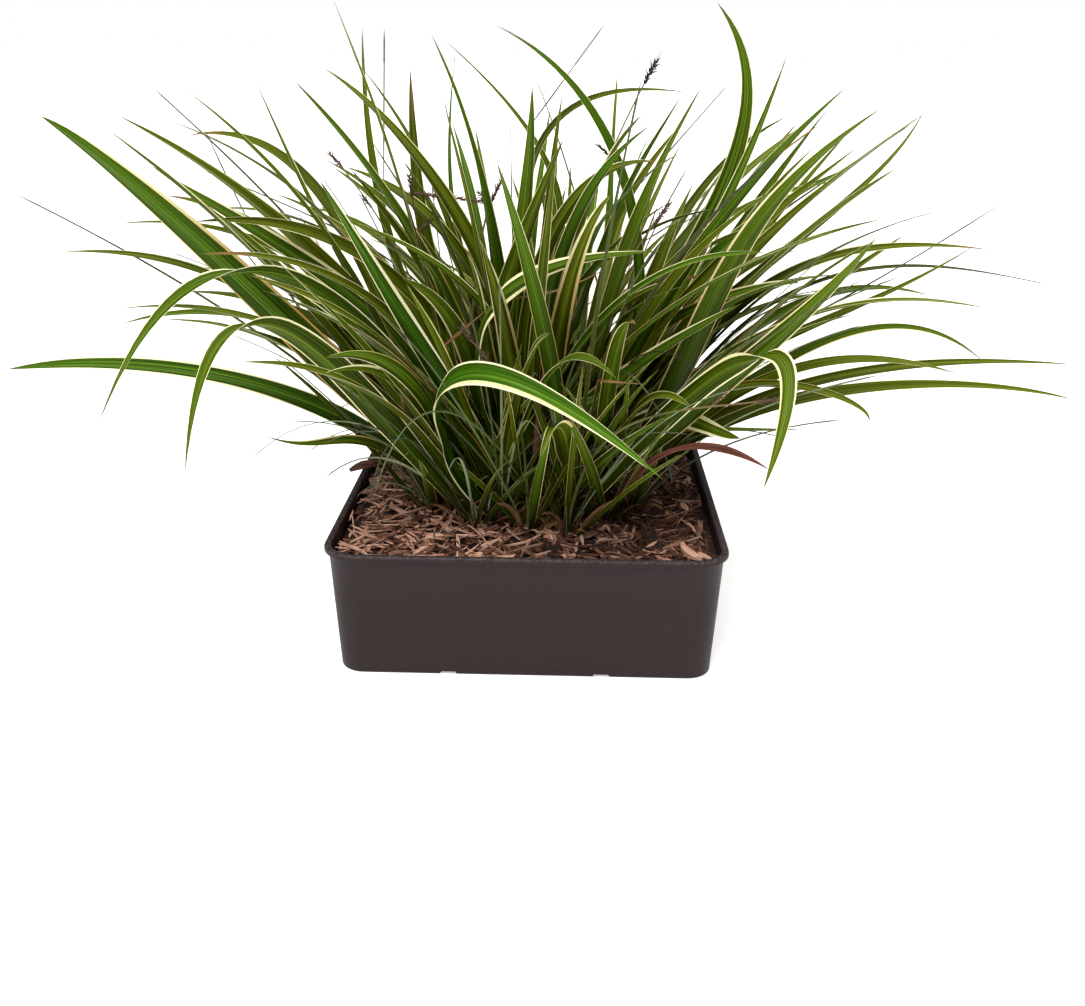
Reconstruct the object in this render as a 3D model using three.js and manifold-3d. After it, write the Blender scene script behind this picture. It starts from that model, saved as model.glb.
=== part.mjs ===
// A variegated carex sedge growing in its square nursery pot.
// Millimetres, +Z up. The origin is the middle of the pot's underside, the front is -Y.
import * as THREE from 'three';
import { mergeVertices } from 'three/addons/utils/BufferGeometryUtils.js';
import Module from 'manifold-3d';

const wasm = await Module();
wasm.setup();

// ---- driving dimensions -------------------------------------------------------------------

const POT = {
  width: 150, // across the flats of the lip
  height: 49.6,
  cornerRadius: 14,
  lipHeight: 2.3,
  lipReach: 1.7, // how far the lip stands out from the body
  wall: 1.2,
  floor: 3,
  footWidth: 141, // the body tapers to this
  edge: 0.9, // small rounding of the lip and the foot
  cornerSteps: 4,
};
const DRAIN = { holes: 8, ringRadius: 50, holeRadius: 4.5, grooveDepth: 1.2, grooveWidth: 6 };
const GAP = 0.3; // left between pieces that touch
const SOIL_TOP = 36;
const MULCH_TOP = 44;

// Every stem stands at one site of a sunflower spiral, in a plain hole.
const CLUMP = { sites: 41, radius: 44, turn: 137.508, start: 20 };
const FLOWER_SITES = [3, 9, 15, 22, 28, 36];
const DEAD_SITES = [31, 37, 40];

const STEM = { foot: 24, top: 72, footRadius: 3.8, topRadius: 1.3, sides: 5 };
const STEM_HOLE_RADIUS = 4.3;
const STALK = { foot: 26, kneeHeight: 100, radius: 0.95, tipRadius: 0.7, holeRadius: 3.4, rings: 7 };
// The main spike ends the stalk; the side spike leans out of it and is sunk a little into it.
const SPIKE = { start: 0.93, length: 10, sideLength: 7, sideLean: 48, sunk: 0.6 };
const HOLE_TOP = 56;
// A withered leaf stands on a stub of its old stem.
const WITHERED = { foot: 44, knee: 74, kneeReach: 0.15, roll: 25, twist: 70 };
const STUB = { top: 54, footRadius: 1.7, topRadius: 1.3 };

const LEAF = {
  rings: 6,
  drawnRings: 5,
  sheathRings: 1, // up to this ring, leaves of one stem may lie in each other
  rootHeight: 48,
  rootStep: 2.5, // each further leaf of a stem starts this much higher
  rootOffset: 1.0,
  keel: 1.1, // depth of the midrib below the leaf's upper face
  slimKeel: 0.9,
  clearance: 0.35, // kept to the leaves of other stems
  facing: 0.8, // how far a noted leaf turns its broad side to the front
  facingAt: 0.45, // and where on its line
};
const LEAVES_PER_STEM = 7;

const SEEDS = { leaves: 4021, chips: 777 };

// ---- materials ----------------------------------------------------------------------------

const finish = (color, roughness) => new THREE.MeshStandardMaterial({ color, roughness, metalness: 0 });
const MATERIALS = {
  pot: () => finish(0x443a3b, 0.62),
  soil: () => finish(0x2a1c15, 0.95),
  mulch: () => finish(0x7a5a44, 0.92),
  leaf: () => finish(0x5f8a35, 0.5),
  flower: () => finish(0x4a3b26, 0.8),
  dead: () => finish(0x8a4a2a, 0.75),
};

// ---- noted leaves -------------------------------------------------------------------------
// The leaves that give the clump its outline. Each row is a curve from its stem:
// stem site, leaf width, knee [x, z], bend [x, z], tip [x, y, z]. A last number says where along its
// line the leaf's broad side looks to the front, if not a little below the middle.

const NOTED_LEAVES = [
  // in front, over the pot
  [20, 12, [-50, 90], [-40, 160], [45, -115, 95], 0.75],
  [12, 10, [-45, 115], [-100, 210], [-145, -85, 100]],
  [33, 11, [-55, 95], [-100, 195], [-110, -105, 90]],
  [23, 7, [45, 95], [110, 175], [80, -95, 85], 0.75],
  [23, 10, [60, 100], [95, 130], [115, -70, 165]],
  [7, 8, [-25, 105], [-35, 155], [45, -75, 160], 0.75],
  [10, 7, [45, 105], [60, 85], [75, -70, 95]],
  [39, 4, [45, 130], [130, 105], [120, -65, 100]],
  [10, 3.8, [20, 95], [55, 85], [105, -40, 90]],
  [25, 4.5, [-70, 100], [-70, 75], [-95, -60, 90]],
  // the tall ones
  [16, 10.5, [50, 130], [110, 195], [70, 40, 240]],
  [5, 9, [30, 100], [65, 135], [90, -15, 220]],
  [18, 10.5, [75, 130], [55, 165], [115, -60, 205]],
  [4, 7.6, [15, 115], [-40, 195], [-75, -20, 215]],
  [2, 7.6, [-20, 105], [0, 150], [0, -25, 210]],
  [5, 6.2, [55, 95], [55, 200], [-15, 10, 230]],
  [2, 8, [-15, 115], [5, 190], [45, -35, 185]],
  [4, 5.6, [5, 100], [-5, 145], [-65, -45, 165]],
  [6, 6, [-10, 120], [-50, 80], [-50, 30, 215]],
  [6, 4.6, [-30, 120], [65, 140], [-40, 70, 225]],
  [11, 4.6, [5, 120], [-50, 100], [-35, 60, 220]],
  [11, 5, [0, 120], [5, 170], [10, 45, 205]],
  [19, 4.6, [-55, 105], [-75, 155], [-75, 70, 230]],
  [19, 4.2, [-25, 120], [-35, 170], [-75, 60, 215]],
  [8, 2.4, [0, 120], [-40, 220], [65, 75, 205]],
  // to the left
  [25, 14, [-60, 100], [-135, 185], [-155, -75, 200]],
  [17, 9.5, [-20, 120], [-100, 155], [-135, -30, 180]],
  [7, 8.6, [-35, 105], [-55, 150], [-70, -60, 180]],
  [30, 7.5, [-70, 95], [-150, 110], [-210, -10, 100]],
  [30, 1.8, [-85, 100], [-150, 135], [-220, 35, 165]],
  [27, 2.4, [-85, 120], [-90, 60], [-145, 60, 195]],
  [27, 3.5, [-70, 105], [-95, 155], [-120, 60, 210]],
  [35, 7.5, [-65, 120], [-90, 200], [-155, 70, 185]],
  [35, 1.8, [-55, 120], [-140, 185], [-170, 80, 205]],
  [14, 1.8, [-20, 120], [-50, 135], [-160, 95, 170]],
  // to the right
  [21, 5.2, [35, 115], [140, 155], [160, 55, 200]],
  [21, 4.8, [50, 125], [90, 145], [150, 60, 155]],
  [26, 5.6, [65, 135], [105, 160], [180, 5, 150]],
  [26, 5, [85, 105], [135, 145], [175, -15, 110]],
  [34, 4.8, [70, 115], [120, 110], [180, 25, 150]],
  [34, 5.6, [80, 95], [145, 110], [220, 5, 105]],
  [39, 5.8, [65, 105], [165, 110], [205, -30, 100]],
  [39, 2.4, [80, 170], [170, 140], [220, 45, 130]],
  [29, 2.4, [40, 120], [80, 140], [165, 80, 195]],
  [13, 2.4, [50, 115], [60, 75], [195, 30, 170]],
  [0, 5, [25, 140], [110, 140], [100, -15, 140]],
];

// Flower stalks: site, bend [x, y, z], tip [x, y, z], and the side spike's place and heading.
const FLOWER_STALKS = [
  [3, [10, 40, 150], [50, 45, 222], 0.8, 200],
  [9, [-45, 10, 130], [-45, -20, 178], 0.84, 20],
  [15, [20, -35, 130], [48, -40, 170], 0.8, 300],
  [22, [-50, 40, 140], [-90, 60, 180], 0.82, 150],
  [28, [-5, -50, 105], [-20, -85, 135], 0.8, 240],
  [36, [45, -60, 100], [85, -80, 112], 0.82, 20],
];

// Withered leaves lie low: site, width, bend [x, y, z], tip [x, y, z].
const DEAD_LEAVES = [
  [31, 3.6, [60, -45, 95], [88, -60, 80]],
  [37, 4.2, [40, 75, 110], [70, 100, 85]],
  [40, 4, [-55, 75, 120], [-90, 95, 90]],
];

// ---- small helpers ------------------------------------------------------------------------

const radians = THREE.MathUtils.degToRad;

// Park and Miller's generator: the same draws on every run.
function seededRandom(seed) {
  let state = seed;
  return () => {
    state = (state * 16807) % 2147483647;
    return state / 2147483647;
  };
}

const between = (draw, low, high) => low + (high - low) * draw();

function direction(lean, heading) {
  const across = Math.sin(radians(lean));
  return new THREE.Vector3(
    across * Math.cos(radians(heading)),
    across * Math.sin(radians(heading)),
    Math.cos(radians(lean)),
  );
}

function solidFromArrays(points, triangles) {
  const vertProperties = new Float32Array(points.flatMap((p) => [p.x, p.y, p.z]));
  const triVerts = new Uint32Array(triangles.flat());
  return new wasm.Manifold(new wasm.Mesh({ numProp: 3, vertProperties, triVerts }));
}

function solidFromGeometry(geometry) {
  geometry.deleteAttribute('normal');
  geometry.deleteAttribute('uv');
  const merged = mergeVertices(geometry, 1e-4);
  const vertProperties = new Float32Array(merged.attributes.position.array);
  const triVerts = new Uint32Array(merged.index.array);
  return new wasm.Manifold(new wasm.Mesh({ numProp: 3, vertProperties, triVerts }));
}

// Joins solids and merges corners closer than MERGE, then keeps the one body: scraps go, and hollows
// sealed by the joint are filled.
const MERGE = 0.05;

function fused(solids) {
  const bodies = wasm.Manifold.union(solids).simplify(MERGE).decompose();
  return bodies.reduce((best, body) => (body.volume() > best.volume() ? body : best));
}

function meshFromSolid(name, solid, material) {
  const { vertProperties, triVerts } = solid.getMesh();
  const geometry = new THREE.BufferGeometry();
  geometry.setAttribute('position', new THREE.BufferAttribute(vertProperties, 3));
  geometry.setIndex(new THREE.BufferAttribute(triVerts, 1));
  const mesh = new THREE.Mesh(geometry, material);
  mesh.name = name;
  return mesh;
}

// An upright round bar with few sides, from z = low to z = high.
function upright(x, y, low, high, lowRadius, highRadius, sides) {
  const geometry = new THREE.CylinderGeometry(highRadius, lowRadius, high - low, sides);
  geometry.rotateX(Math.PI / 2);
  geometry.translate(x, y, (low + high) / 2);
  return solidFromGeometry(geometry);
}

// ---- pot, soil and mulch ------------------------------------------------------------------

function squareOutline(half, radius, steps) {
  const points = [];
  for (let corner = 0; corner < 4; corner += 1) {
    const middle = radians(45 + 90 * corner);
    const cx = Math.sign(Math.cos(middle)) * (half - radius);
    const cy = Math.sign(Math.sin(middle)) * (half - radius);
    for (let step = 0; step <= steps; step += 1) {
      const angle = radians(90 * corner + (90 * step) / steps);
      points.push([cx + radius * Math.cos(angle), cy + radius * Math.sin(angle)]);
    }
  }
  return points;
}

// A closed solid through rounded squares, each { half, radius, z }, from the lowest to the highest.
function stackedSquares(levels) {
  const points = [];
  const triangles = [];
  const around = 4 * (POT.cornerSteps + 1);
  for (const { half, radius, z } of levels) {
    for (const [x, y] of squareOutline(half, radius, POT.cornerSteps)) {
      points.push(new THREE.Vector3(x, y, z));
    }
  }
  for (let level = 0; level + 1 < levels.length; level += 1) {
    for (let k = 0; k < around; k += 1) {
      const a = level * around + k;
      const b = level * around + ((k + 1) % around);
      triangles.push([a, b, b + around], [a, b + around, a + around]);
    }
  }
  const top = (levels.length - 1) * around;
  for (let k = 1; k + 1 < around; k += 1) {
    triangles.push([0, k + 1, k], [top, top + k, top + k + 1]);
  }
  return solidFromArrays(points, triangles);
}

const bodyHalf = (z) => {
  const lipHalf = POT.width / 2 - POT.lipReach;
  const share = z / (POT.height - POT.lipHeight);
  return POT.footWidth / 2 + (lipHalf - POT.footWidth / 2) * share;
};
const innerHalf = (z) => bodyHalf(z) - POT.wall;
const radiusAt = (half) => POT.cornerRadius - (POT.width / 2 - half);
const level = (half, z) => ({ half, radius: radiusAt(half), z });

function potShell() {
  const lipHalf = POT.width / 2;
  const under = POT.height - POT.lipHeight;
  return stackedSquares([
    level(bodyHalf(0) - POT.edge, 0),
    level(bodyHalf(0), POT.edge),
    level(bodyHalf(under), under),
    level(lipHalf - POT.edge / 2, under),
    level(lipHalf, under + POT.edge / 2),
    level(lipHalf, POT.height - POT.edge),
    level(lipHalf - POT.edge, POT.height),
  ]);
}

function potHollow() {
  return stackedSquares([
    level(innerHalf(POT.floor), POT.floor),
    level(innerHalf(POT.height), POT.height - POT.edge / 2),
    level(innerHalf(POT.height) + POT.edge, POT.height + GAP),
  ]);
}

// Drain holes in a ring, each with a groove that lets the water out under the foot.
function drainage() {
  const cuts = [];
  for (let k = 0; k < DRAIN.holes; k += 1) {
    const heading = 360 / DRAIN.holes * k + 180 / DRAIN.holes;
    const place = direction(90, heading).multiplyScalar(DRAIN.ringRadius);
    cuts.push(upright(place.x, place.y, -1, POT.floor + 1, DRAIN.holeRadius, DRAIN.holeRadius, 10));
    const groove = new THREE.BoxGeometry(POT.width / 2, DRAIN.grooveWidth, 2 * DRAIN.grooveDepth);
    groove.translate(POT.width / 4 + DRAIN.ringRadius, 0, 0);
    groove.rotateZ(radians(heading));
    cuts.push(solidFromGeometry(groove));
  }
  return wasm.Manifold.union(cuts);
}

function makePot() {
  return fused([potShell().subtract(potHollow()).subtract(drainage())]);
}

function sitePlace(site) {
  const reach = CLUMP.radius * Math.sqrt((site + 0.5) / CLUMP.sites);
  const angle = radians(CLUMP.turn * site + CLUMP.start);
  return { x: reach * Math.cos(angle), y: reach * Math.sin(angle), reach };
}

function siteHoles() {
  const holes = [];
  for (let site = 0; site < CLUMP.sites; site += 1) {
    const { x, y } = sitePlace(site);
    const slim = FLOWER_SITES.includes(site) || DEAD_SITES.includes(site);
    const radius = slim ? STALK.holeRadius : STEM_HOLE_RADIUS;
    const foot = (slim ? STALK.foot : STEM.foot) - GAP;
    holes.push(upright(x, y, foot, HOLE_TOP, radius, radius, STEM.sides));
  }
  return wasm.Manifold.union(holes);
}

function makeSoil(holes) {
  const low = POT.floor + GAP;
  const block = stackedSquares([
    level(innerHalf(low) - GAP, low),
    level(innerHalf(SOIL_TOP) - GAP, SOIL_TOP),
  ]);
  return fused([block.subtract(holes)]);
}

// One shred of bark: a four-sided sliver with ragged ends.
function barkShred(length, width, thickness, x, y, z, yaw, pitch) {
  const outline = new THREE.Shape();
  outline.moveTo(-length / 2, -0.1 * width);
  outline.lineTo(0.1 * length, -0.5 * width);
  outline.lineTo(length / 2, 0.1 * width);
  outline.lineTo(-0.2 * length, 0.5 * width);
  const geometry = new THREE.ExtrudeGeometry(outline, { depth: thickness, bevelEnabled: false });
  geometry.translate(0, 0, -thickness / 2);
  geometry.rotateY(radians(pitch));
  geometry.rotateZ(radians(yaw));
  geometry.translate(x, y, z);
  return solidFromGeometry(geometry);
}

function makeMulch(holes) {
  const draw = seededRandom(SEEDS.chips);
  const low = SOIL_TOP + GAP;
  const room = innerHalf(MULCH_TOP) - GAP;
  const pieces = [stackedSquares([level(innerHalf(low) - GAP, low), level(room, MULCH_TOP)])];
  const rows = 6;
  for (let row = 0; row < rows; row += 1) {
    for (let column = 0; column < rows; column += 1) {
      const length = between(draw, 13, 26);
      const width = between(draw, 5, 9.5);
      const limit = room - length / 2 - 1;
      const spread = (index) => ((index + between(draw, 0.2, 0.8)) / rows) * 2 - 1;
      const x = spread(column) * limit;
      const y = spread(row) * limit;
      const thickness = between(draw, 1.4, 2.8);
      const z = MULCH_TOP + between(draw, 0, 1.6);
      const yaw = between(draw, 0, 360);
      const pitch = between(draw, -11, 11);
      const corner = Math.hypot(Math.max(0, Math.abs(x) - limit + 6), Math.max(0, Math.abs(y) - limit + 6));
      if (corner < 7) {
        pieces.push(barkShred(length, width, thickness, x, y, z, yaw, pitch));
      }
    }
  }
  return fused([wasm.Manifold.union(pieces).subtract(holes)]);
}

// ---- leaves -------------------------------------------------------------------------------

// Half the leaf's width: narrow in the sheath, even along the blade, drawn out to the tip.
function halfWidth(width, t) {
  const swell = Math.min(1, 0.3 + 2.2 * t);
  const taper = Math.pow(1 - Math.pow(t, 2.6), 0.9);
  return (width / 2) * swell * taper;
}

// The leaf's frame at t: along it, across it, and out of its upper face.
function leafFrame(leaf, t) {
  const along = leaf.curve.getTangent(t);
  const { v0: root, v3: tip } = leaf.curve;
  const left = new THREE.Vector3(root.y - tip.y, tip.x - root.x, 0).normalize();
  const inward = new THREE.Vector3().crossVectors(along, left).normalize();
  const side = new THREE.Vector3().crossVectors(inward, along);
  const turn = radians(leaf.roll + leaf.twist * t);
  const face = inward.multiplyScalar(Math.cos(turn)).addScaledVector(side, Math.sin(turn));
  const across = new THREE.Vector3().crossVectors(along, face);
  return { across, face };
}

// A keeled leaf: three corners a ring, drawn to a point. To test clearance, grow makes it fatter and
// firstRing leaves out its foot.
function leafSolid(leaf, grow = 0, firstRing = 0) {
  const keel = (leaf.width < 3 ? LEAF.slimKeel : LEAF.keel) + grow;
  const points = [];
  const triangles = [];
  for (let ring = firstRing; ring < leaf.rings; ring += 1) {
    const t = ring / leaf.rings;
    const { across, face } = leafFrame(leaf, t);
    const half = halfWidth(leaf.width, t) + grow;
    const middle = leaf.curve.getPoint(t).addScaledVector(face, grow);
    points.push(
      middle.clone().addScaledVector(across, -half),
      middle.clone().addScaledVector(across, half),
      middle.clone().addScaledVector(face, -keel - grow),
    );
  }
  points.push(leaf.curve.getPoint(1));
  const tip = points.length - 1;
  triangles.push([0, 2, 1]);
  for (let ring = 0; ring + 1 < leaf.rings - firstRing; ring += 1) {
    for (let k = 0; k < 3; k += 1) {
      const a = 3 * ring + k;
      const b = 3 * ring + ((k + 1) % 3);
      triangles.push([a, b, b + 3], [a, b + 3, a + 3]);
    }
  }
  for (let k = 0; k < 3; k += 1) {
    triangles.push([tip - 3 + k, tip - 3 + ((k + 1) % 3), tip]);
  }
  return solidFromArrays(points, triangles);
}

// The turn about its own line that brings a leaf's broad side most of the way to the front at t.
function frontRoll(curve, t) {
  const { across, face } = leafFrame({ curve, roll: 0, twist: 0 }, t);
  const front = new THREE.Vector3(0, -0.94, 0.35);
  return LEAF.facing * THREE.MathUtils.radToDeg(Math.atan(-front.dot(across) / front.dot(face)));
}

function rootPoint(site, order, tip) {
  const { x, y } = sitePlace(site);
  const away = new THREE.Vector3(tip.x - x, tip.y - y, 0).normalize();
  const height = LEAF.rootHeight + LEAF.rootStep * order;
  return new THREE.Vector3(x, y, height).addScaledVector(away, LEAF.rootOffset);
}

// The ways in which a noted leaf may be bent clear: knee and bend move towards or away from the front.
const NOTED_BENDS = [0, 3, -3, 6, -6, 10, -10, 14, -14, 19, -19, 25, -25, 32, -32, 40, -40, 50, -50];

function notedLeaf(row, order, bendY) {
  const [site, width, knee, bend, tipAt, facingAt = LEAF.facingAt] = row;
  const tip = new THREE.Vector3(...tipAt);
  const root = rootPoint(site, order, tip);
  const kneeY = root.y + 0.3 * (tip.y - root.y) + 0.6 * bendY;
  const bendAtY = root.y + 0.66 * (tip.y - root.y) + bendY;
  const curve = new THREE.CubicBezierCurve3(
    root,
    new THREE.Vector3(knee[0], kneeY, knee[1]),
    new THREE.Vector3(bend[0], bendAtY, bend[1]),
    tip,
  );
  return { curve, width, roll: frontRoll(curve, facingAt), twist: 0, rings: LEAF.rings };
}

// The ways in which a drawn leaf may be bent clear: [heading, lean] added to its own.
const DRAWN_BENDS = [];
for (const lean of [0, -6, 6, -12, 12]) {
  for (const heading of [0, 9, -9, 18, -18, 30, -30, 45, -45]) {
    DRAWN_BENDS.push([heading, lean]);
  }
}

function drawnLeaf(site, order, count, draw) {
  const { reach } = sitePlace(site);
  const outward = CLUMP.turn * site + CLUMP.start;
  const edge = reach / CLUMP.radius;
  const slim = draw() < 0.16;
  return {
    site,
    order,
    width: slim ? between(draw, 1.8, 2.6) : between(draw, 5, 10.5),
    heading: outward + (order - (count - 1) / 2) * (360 / count) * (1 - 0.5 * edge) + between(draw, -22, 22),
    length: between(draw, 105, 190),
    lean: 3 + 22 * edge + between(draw, -3, 12),
    midLean: between(draw, 4, 26),
    tipLean: between(draw, 6, 60),
    roll: between(draw, -75, 75),
    twist: between(draw, -50, 50),
  };
}

function bentLeaf(plan, [turn, tilt]) {
  const heading = plan.heading + turn;
  const lean = Math.max(2, plan.lean + tilt);
  const { x, y } = sitePlace(plan.site);
  const away = direction(90, heading);
  const rootZ = LEAF.rootHeight + LEAF.rootStep * plan.order;
  const root = new THREE.Vector3(x, y, rootZ).addScaledVector(away, LEAF.rootOffset);
  const knee = root.clone().addScaledVector(direction(lean, heading), 0.36 * plan.length);
  const bend = knee.clone().addScaledVector(direction(lean + plan.midLean, heading), 0.34 * plan.length);
  const tipLean = lean + plan.midLean + plan.tipLean;
  const tip = bend.clone().addScaledVector(direction(tipLean, heading), 0.36 * plan.length);
  const curve = new THREE.CubicBezierCurve3(root, knee, bend, tip);
  return { curve, width: plan.width, roll: plan.roll, twist: plan.twist, rings: LEAF.drawnRings };
}

// A leaf stands clear of all other stems, and of its own stem's leaves above the sheath: it takes
// the first bend that is clear, or isn't grown.
class Clump {
  constructor(obstacles) {
    this.obstacles = obstacles;
    this.stems = new Map();
    this.blades = new Map();
  }

  plantStem(site) {
    const { x, y } = sitePlace(site);
    const { foot, top, footRadius, topRadius, sides } = STEM;
    this.stems.set(site, [upright(x, y, foot, top, footRadius, topRadius, sides)]);
    this.blades.set(site, []);
  }

  isClear(site, leaf) {
    const others = [...this.stems].filter(([key]) => key !== site).flatMap(([, solids]) => solids);
    return (
      missesAll(leafSolid(leaf, LEAF.clearance), [...this.obstacles, ...others]) &&
      missesAll(leafSolid(leaf, 0, LEAF.sheathRings), this.blades.get(site))
    );
  }

  grow(site, options, make) {
    for (const option of options) {
      const leaf = make(option);
      if (this.isClear(site, leaf)) {
        this.stems.get(site).push(leafSolid(leaf));
        this.blades.get(site).push(leafSolid(leaf, 0, LEAF.sheathRings));
        return;
      }
    }
  }
}

function missesAll(probe, others) {
  const box = probe.boundingBox();
  const apart = (other) => {
    const room = other.boundingBox();
    return [0, 1, 2].some((k) => box.max[k] < room.min[k] || box.min[k] > room.max[k]);
  };
  return others.every((other) => apart(other) || probe.intersect(other).isEmpty());
}

// ---- flower stalks and withered leaves ----------------------------------------------------

// A bar with three sides along a curve, as a sedge's stalk has.
function stalkSolid(curve, rings, radius, tipRadius) {
  const points = [];
  const triangles = [];
  for (let ring = 0; ring <= rings; ring += 1) {
    const t = ring / rings;
    const along = curve.getTangent(t);
    const across = new THREE.Vector3().crossVectors(along, new THREE.Vector3(0, 1, 0.1)).normalize();
    const face = new THREE.Vector3().crossVectors(along, across);
    const size = radius + (tipRadius - radius) * t;
    for (let k = 0; k < 3; k += 1) {
      const angle = radians(120 * k);
      const place = curve.getPoint(t);
      place.addScaledVector(across, size * Math.cos(angle)).addScaledVector(face, size * Math.sin(angle));
      points.push(place);
    }
  }
  triangles.push([0, 2, 1], [3 * rings, 3 * rings + 1, 3 * rings + 2]);
  for (let ring = 0; ring < rings; ring += 1) {
    for (let k = 0; k < 3; k += 1) {
      const a = 3 * ring + k;
      const b = 3 * ring + ((k + 1) % 3);
      triangles.push([a, b, b + 3], [a, b + 3, a + 3]);
    }
  }
  return solidFromArrays(points, triangles);
}

// A spike of scales: a spindle whose rings stand out in turn, on the axis from low to high.
const SPIKE_PROFILE = [0.5, 1.4, 1, 1.6, 1.1, 1.3, 0.5];

function spikeSolid(from, towards, length) {
  const step = length / (SPIKE_PROFILE.length - 1);
  const profile = SPIKE_PROFILE.map((radius, k) => new THREE.Vector2(radius, k * step));
  profile.unshift(new THREE.Vector2(0, 0));
  profile.push(new THREE.Vector2(0, length + 0.8));
  const geometry = new THREE.LatheGeometry(profile, 5);
  const up = new THREE.Vector3(0, 1, 0);
  geometry.applyQuaternion(new THREE.Quaternion().setFromUnitVectors(up, towards.clone().normalize()));
  geometry.translate(from.x, from.y, from.z);
  return solidFromGeometry(geometry);
}

function flowerStalk([site, bend, tipAt, branchAt, branchHeading]) {
  const { x, y } = sitePlace(site);
  const curve = new THREE.CubicBezierCurve3(
    new THREE.Vector3(x, y, STALK.foot),
    new THREE.Vector3(x, y, STALK.kneeHeight),
    new THREE.Vector3(...bend),
    new THREE.Vector3(...tipAt),
  );
  const sideways = direction(SPIKE.sideLean, branchHeading);
  const branch = curve.getPoint(branchAt).addScaledVector(sideways, -SPIKE.sunk);
  return [
    stalkSolid(curve, STALK.rings, STALK.radius, STALK.tipRadius),
    spikeSolid(curve.getPoint(SPIKE.start), curve.getTangent(SPIKE.start), SPIKE.length),
    spikeSolid(branch, sideways, SPIKE.sideLength),
  ];
}

function deadLeaf([site, width, bend, tipAt]) {
  const { x, y } = sitePlace(site);
  const tip = new THREE.Vector3(...tipAt);
  const { foot, knee, kneeReach, roll, twist } = WITHERED;
  const curve = new THREE.CubicBezierCurve3(
    new THREE.Vector3(x, y, foot),
    new THREE.Vector3(x + kneeReach * (tip.x - x), y + kneeReach * (tip.y - y), knee),
    new THREE.Vector3(...bend),
    tip,
  );
  const leaf = { curve, width, roll, twist, rings: LEAF.rings };
  return [upright(x, y, STALK.foot, STUB.top, STUB.footRadius, STUB.topRadius, STEM.sides), leafSolid(leaf)];
}

// ---- the whole plant ----------------------------------------------------------------------

const holes = siteHoles();
const potSolid = makePot();
const soilSolid = makeSoil(holes);
const mulchSolid = makeMulch(holes);

const flowerSolids = FLOWER_STALKS.map((row) => fused(flowerStalk(row)));
const deadSolids = DEAD_LEAVES.map((row) => fused(deadLeaf(row)));
const clump = new Clump([potSolid, mulchSolid, ...flowerSolids, ...deadSolids]);

const isStem = (site) => !FLOWER_SITES.includes(site) && !DEAD_SITES.includes(site);
const stemSites = Array.from({ length: CLUMP.sites }, (_, site) => site).filter(isStem);
for (const site of stemSites) {
  clump.plantStem(site);
}

const grown = new Map(stemSites.map((site) => [site, 0]));
for (const row of NOTED_LEAVES) {
  const site = row[0];
  const order = grown.get(site);
  clump.grow(site, NOTED_BENDS, (bendY) => notedLeaf(row, order, bendY));
  grown.set(site, order + 1);
}

const drawLeaf = seededRandom(SEEDS.leaves);
for (const site of stemSites) {
  for (let order = grown.get(site); order < LEAVES_PER_STEM; order += 1) {
    const plan = drawnLeaf(site, order, LEAVES_PER_STEM, drawLeaf);
    clump.grow(site, DRAWN_BENDS, (bend) => bentLeaf(plan, bend));
  }
}

const twoDigits = (number) => String(number).padStart(2, '0');
const plant = new THREE.Group();
plant.add(meshFromSolid('pot', potSolid, MATERIALS.pot()));
plant.add(meshFromSolid('potting_soil', soilSolid, MATERIALS.soil()));
plant.add(meshFromSolid('bark_mulch', mulchSolid, MATERIALS.mulch()));
stemSites.forEach((site, index) => {
  const solid = fused(clump.stems.get(site));
  plant.add(meshFromSolid(`leafy_stem_${twoDigits(index + 1)}`, solid, MATERIALS.leaf()));
});
flowerSolids.forEach((solid, index) => {
  plant.add(meshFromSolid(`flower_stalk_${index + 1}`, solid, MATERIALS.flower()));
});
deadSolids.forEach((solid, index) => {
  plant.add(meshFromSolid(`withered_leaf_${index + 1}`, solid, MATERIALS.dead()));
});

export default plant;
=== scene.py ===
"""A variegated carex sedge in its square nursery pot: the looks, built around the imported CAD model.

Lengths are millimetres while a piece is modelled. finish_piece() turns it to metres, the CAD model's
unit. Up is +Z, the front is -Y, and the origin is the middle of the pot's underside.
"""

import math
from functools import partial
from math import cos, pi, radians, sin, sqrt
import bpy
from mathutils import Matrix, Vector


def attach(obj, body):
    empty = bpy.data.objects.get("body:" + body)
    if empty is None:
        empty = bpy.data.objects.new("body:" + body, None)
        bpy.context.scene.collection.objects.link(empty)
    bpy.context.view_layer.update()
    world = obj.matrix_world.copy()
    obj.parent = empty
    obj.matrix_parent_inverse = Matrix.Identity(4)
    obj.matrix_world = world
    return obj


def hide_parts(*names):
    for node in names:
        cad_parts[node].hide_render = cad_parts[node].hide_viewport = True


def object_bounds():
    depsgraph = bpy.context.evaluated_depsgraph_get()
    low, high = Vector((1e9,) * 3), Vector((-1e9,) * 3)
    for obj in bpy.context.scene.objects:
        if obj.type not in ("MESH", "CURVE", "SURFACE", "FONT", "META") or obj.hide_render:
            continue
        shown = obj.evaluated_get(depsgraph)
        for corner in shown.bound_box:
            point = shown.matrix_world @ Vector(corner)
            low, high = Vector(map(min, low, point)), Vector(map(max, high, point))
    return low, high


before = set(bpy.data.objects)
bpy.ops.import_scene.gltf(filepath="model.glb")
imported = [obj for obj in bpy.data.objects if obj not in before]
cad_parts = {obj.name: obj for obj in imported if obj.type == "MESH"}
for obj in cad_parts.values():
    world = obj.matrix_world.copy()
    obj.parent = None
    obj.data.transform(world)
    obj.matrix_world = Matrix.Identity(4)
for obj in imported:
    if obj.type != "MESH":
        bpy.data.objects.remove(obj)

from types import SimpleNamespace

import bmesh
import bpy
from mathutils import Matrix, Vector, kdtree, noise

cad_low, cad_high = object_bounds()

MM = 0.001

# ---- the pot and the clump, as in the CAD model ---------------------------------------------

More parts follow.
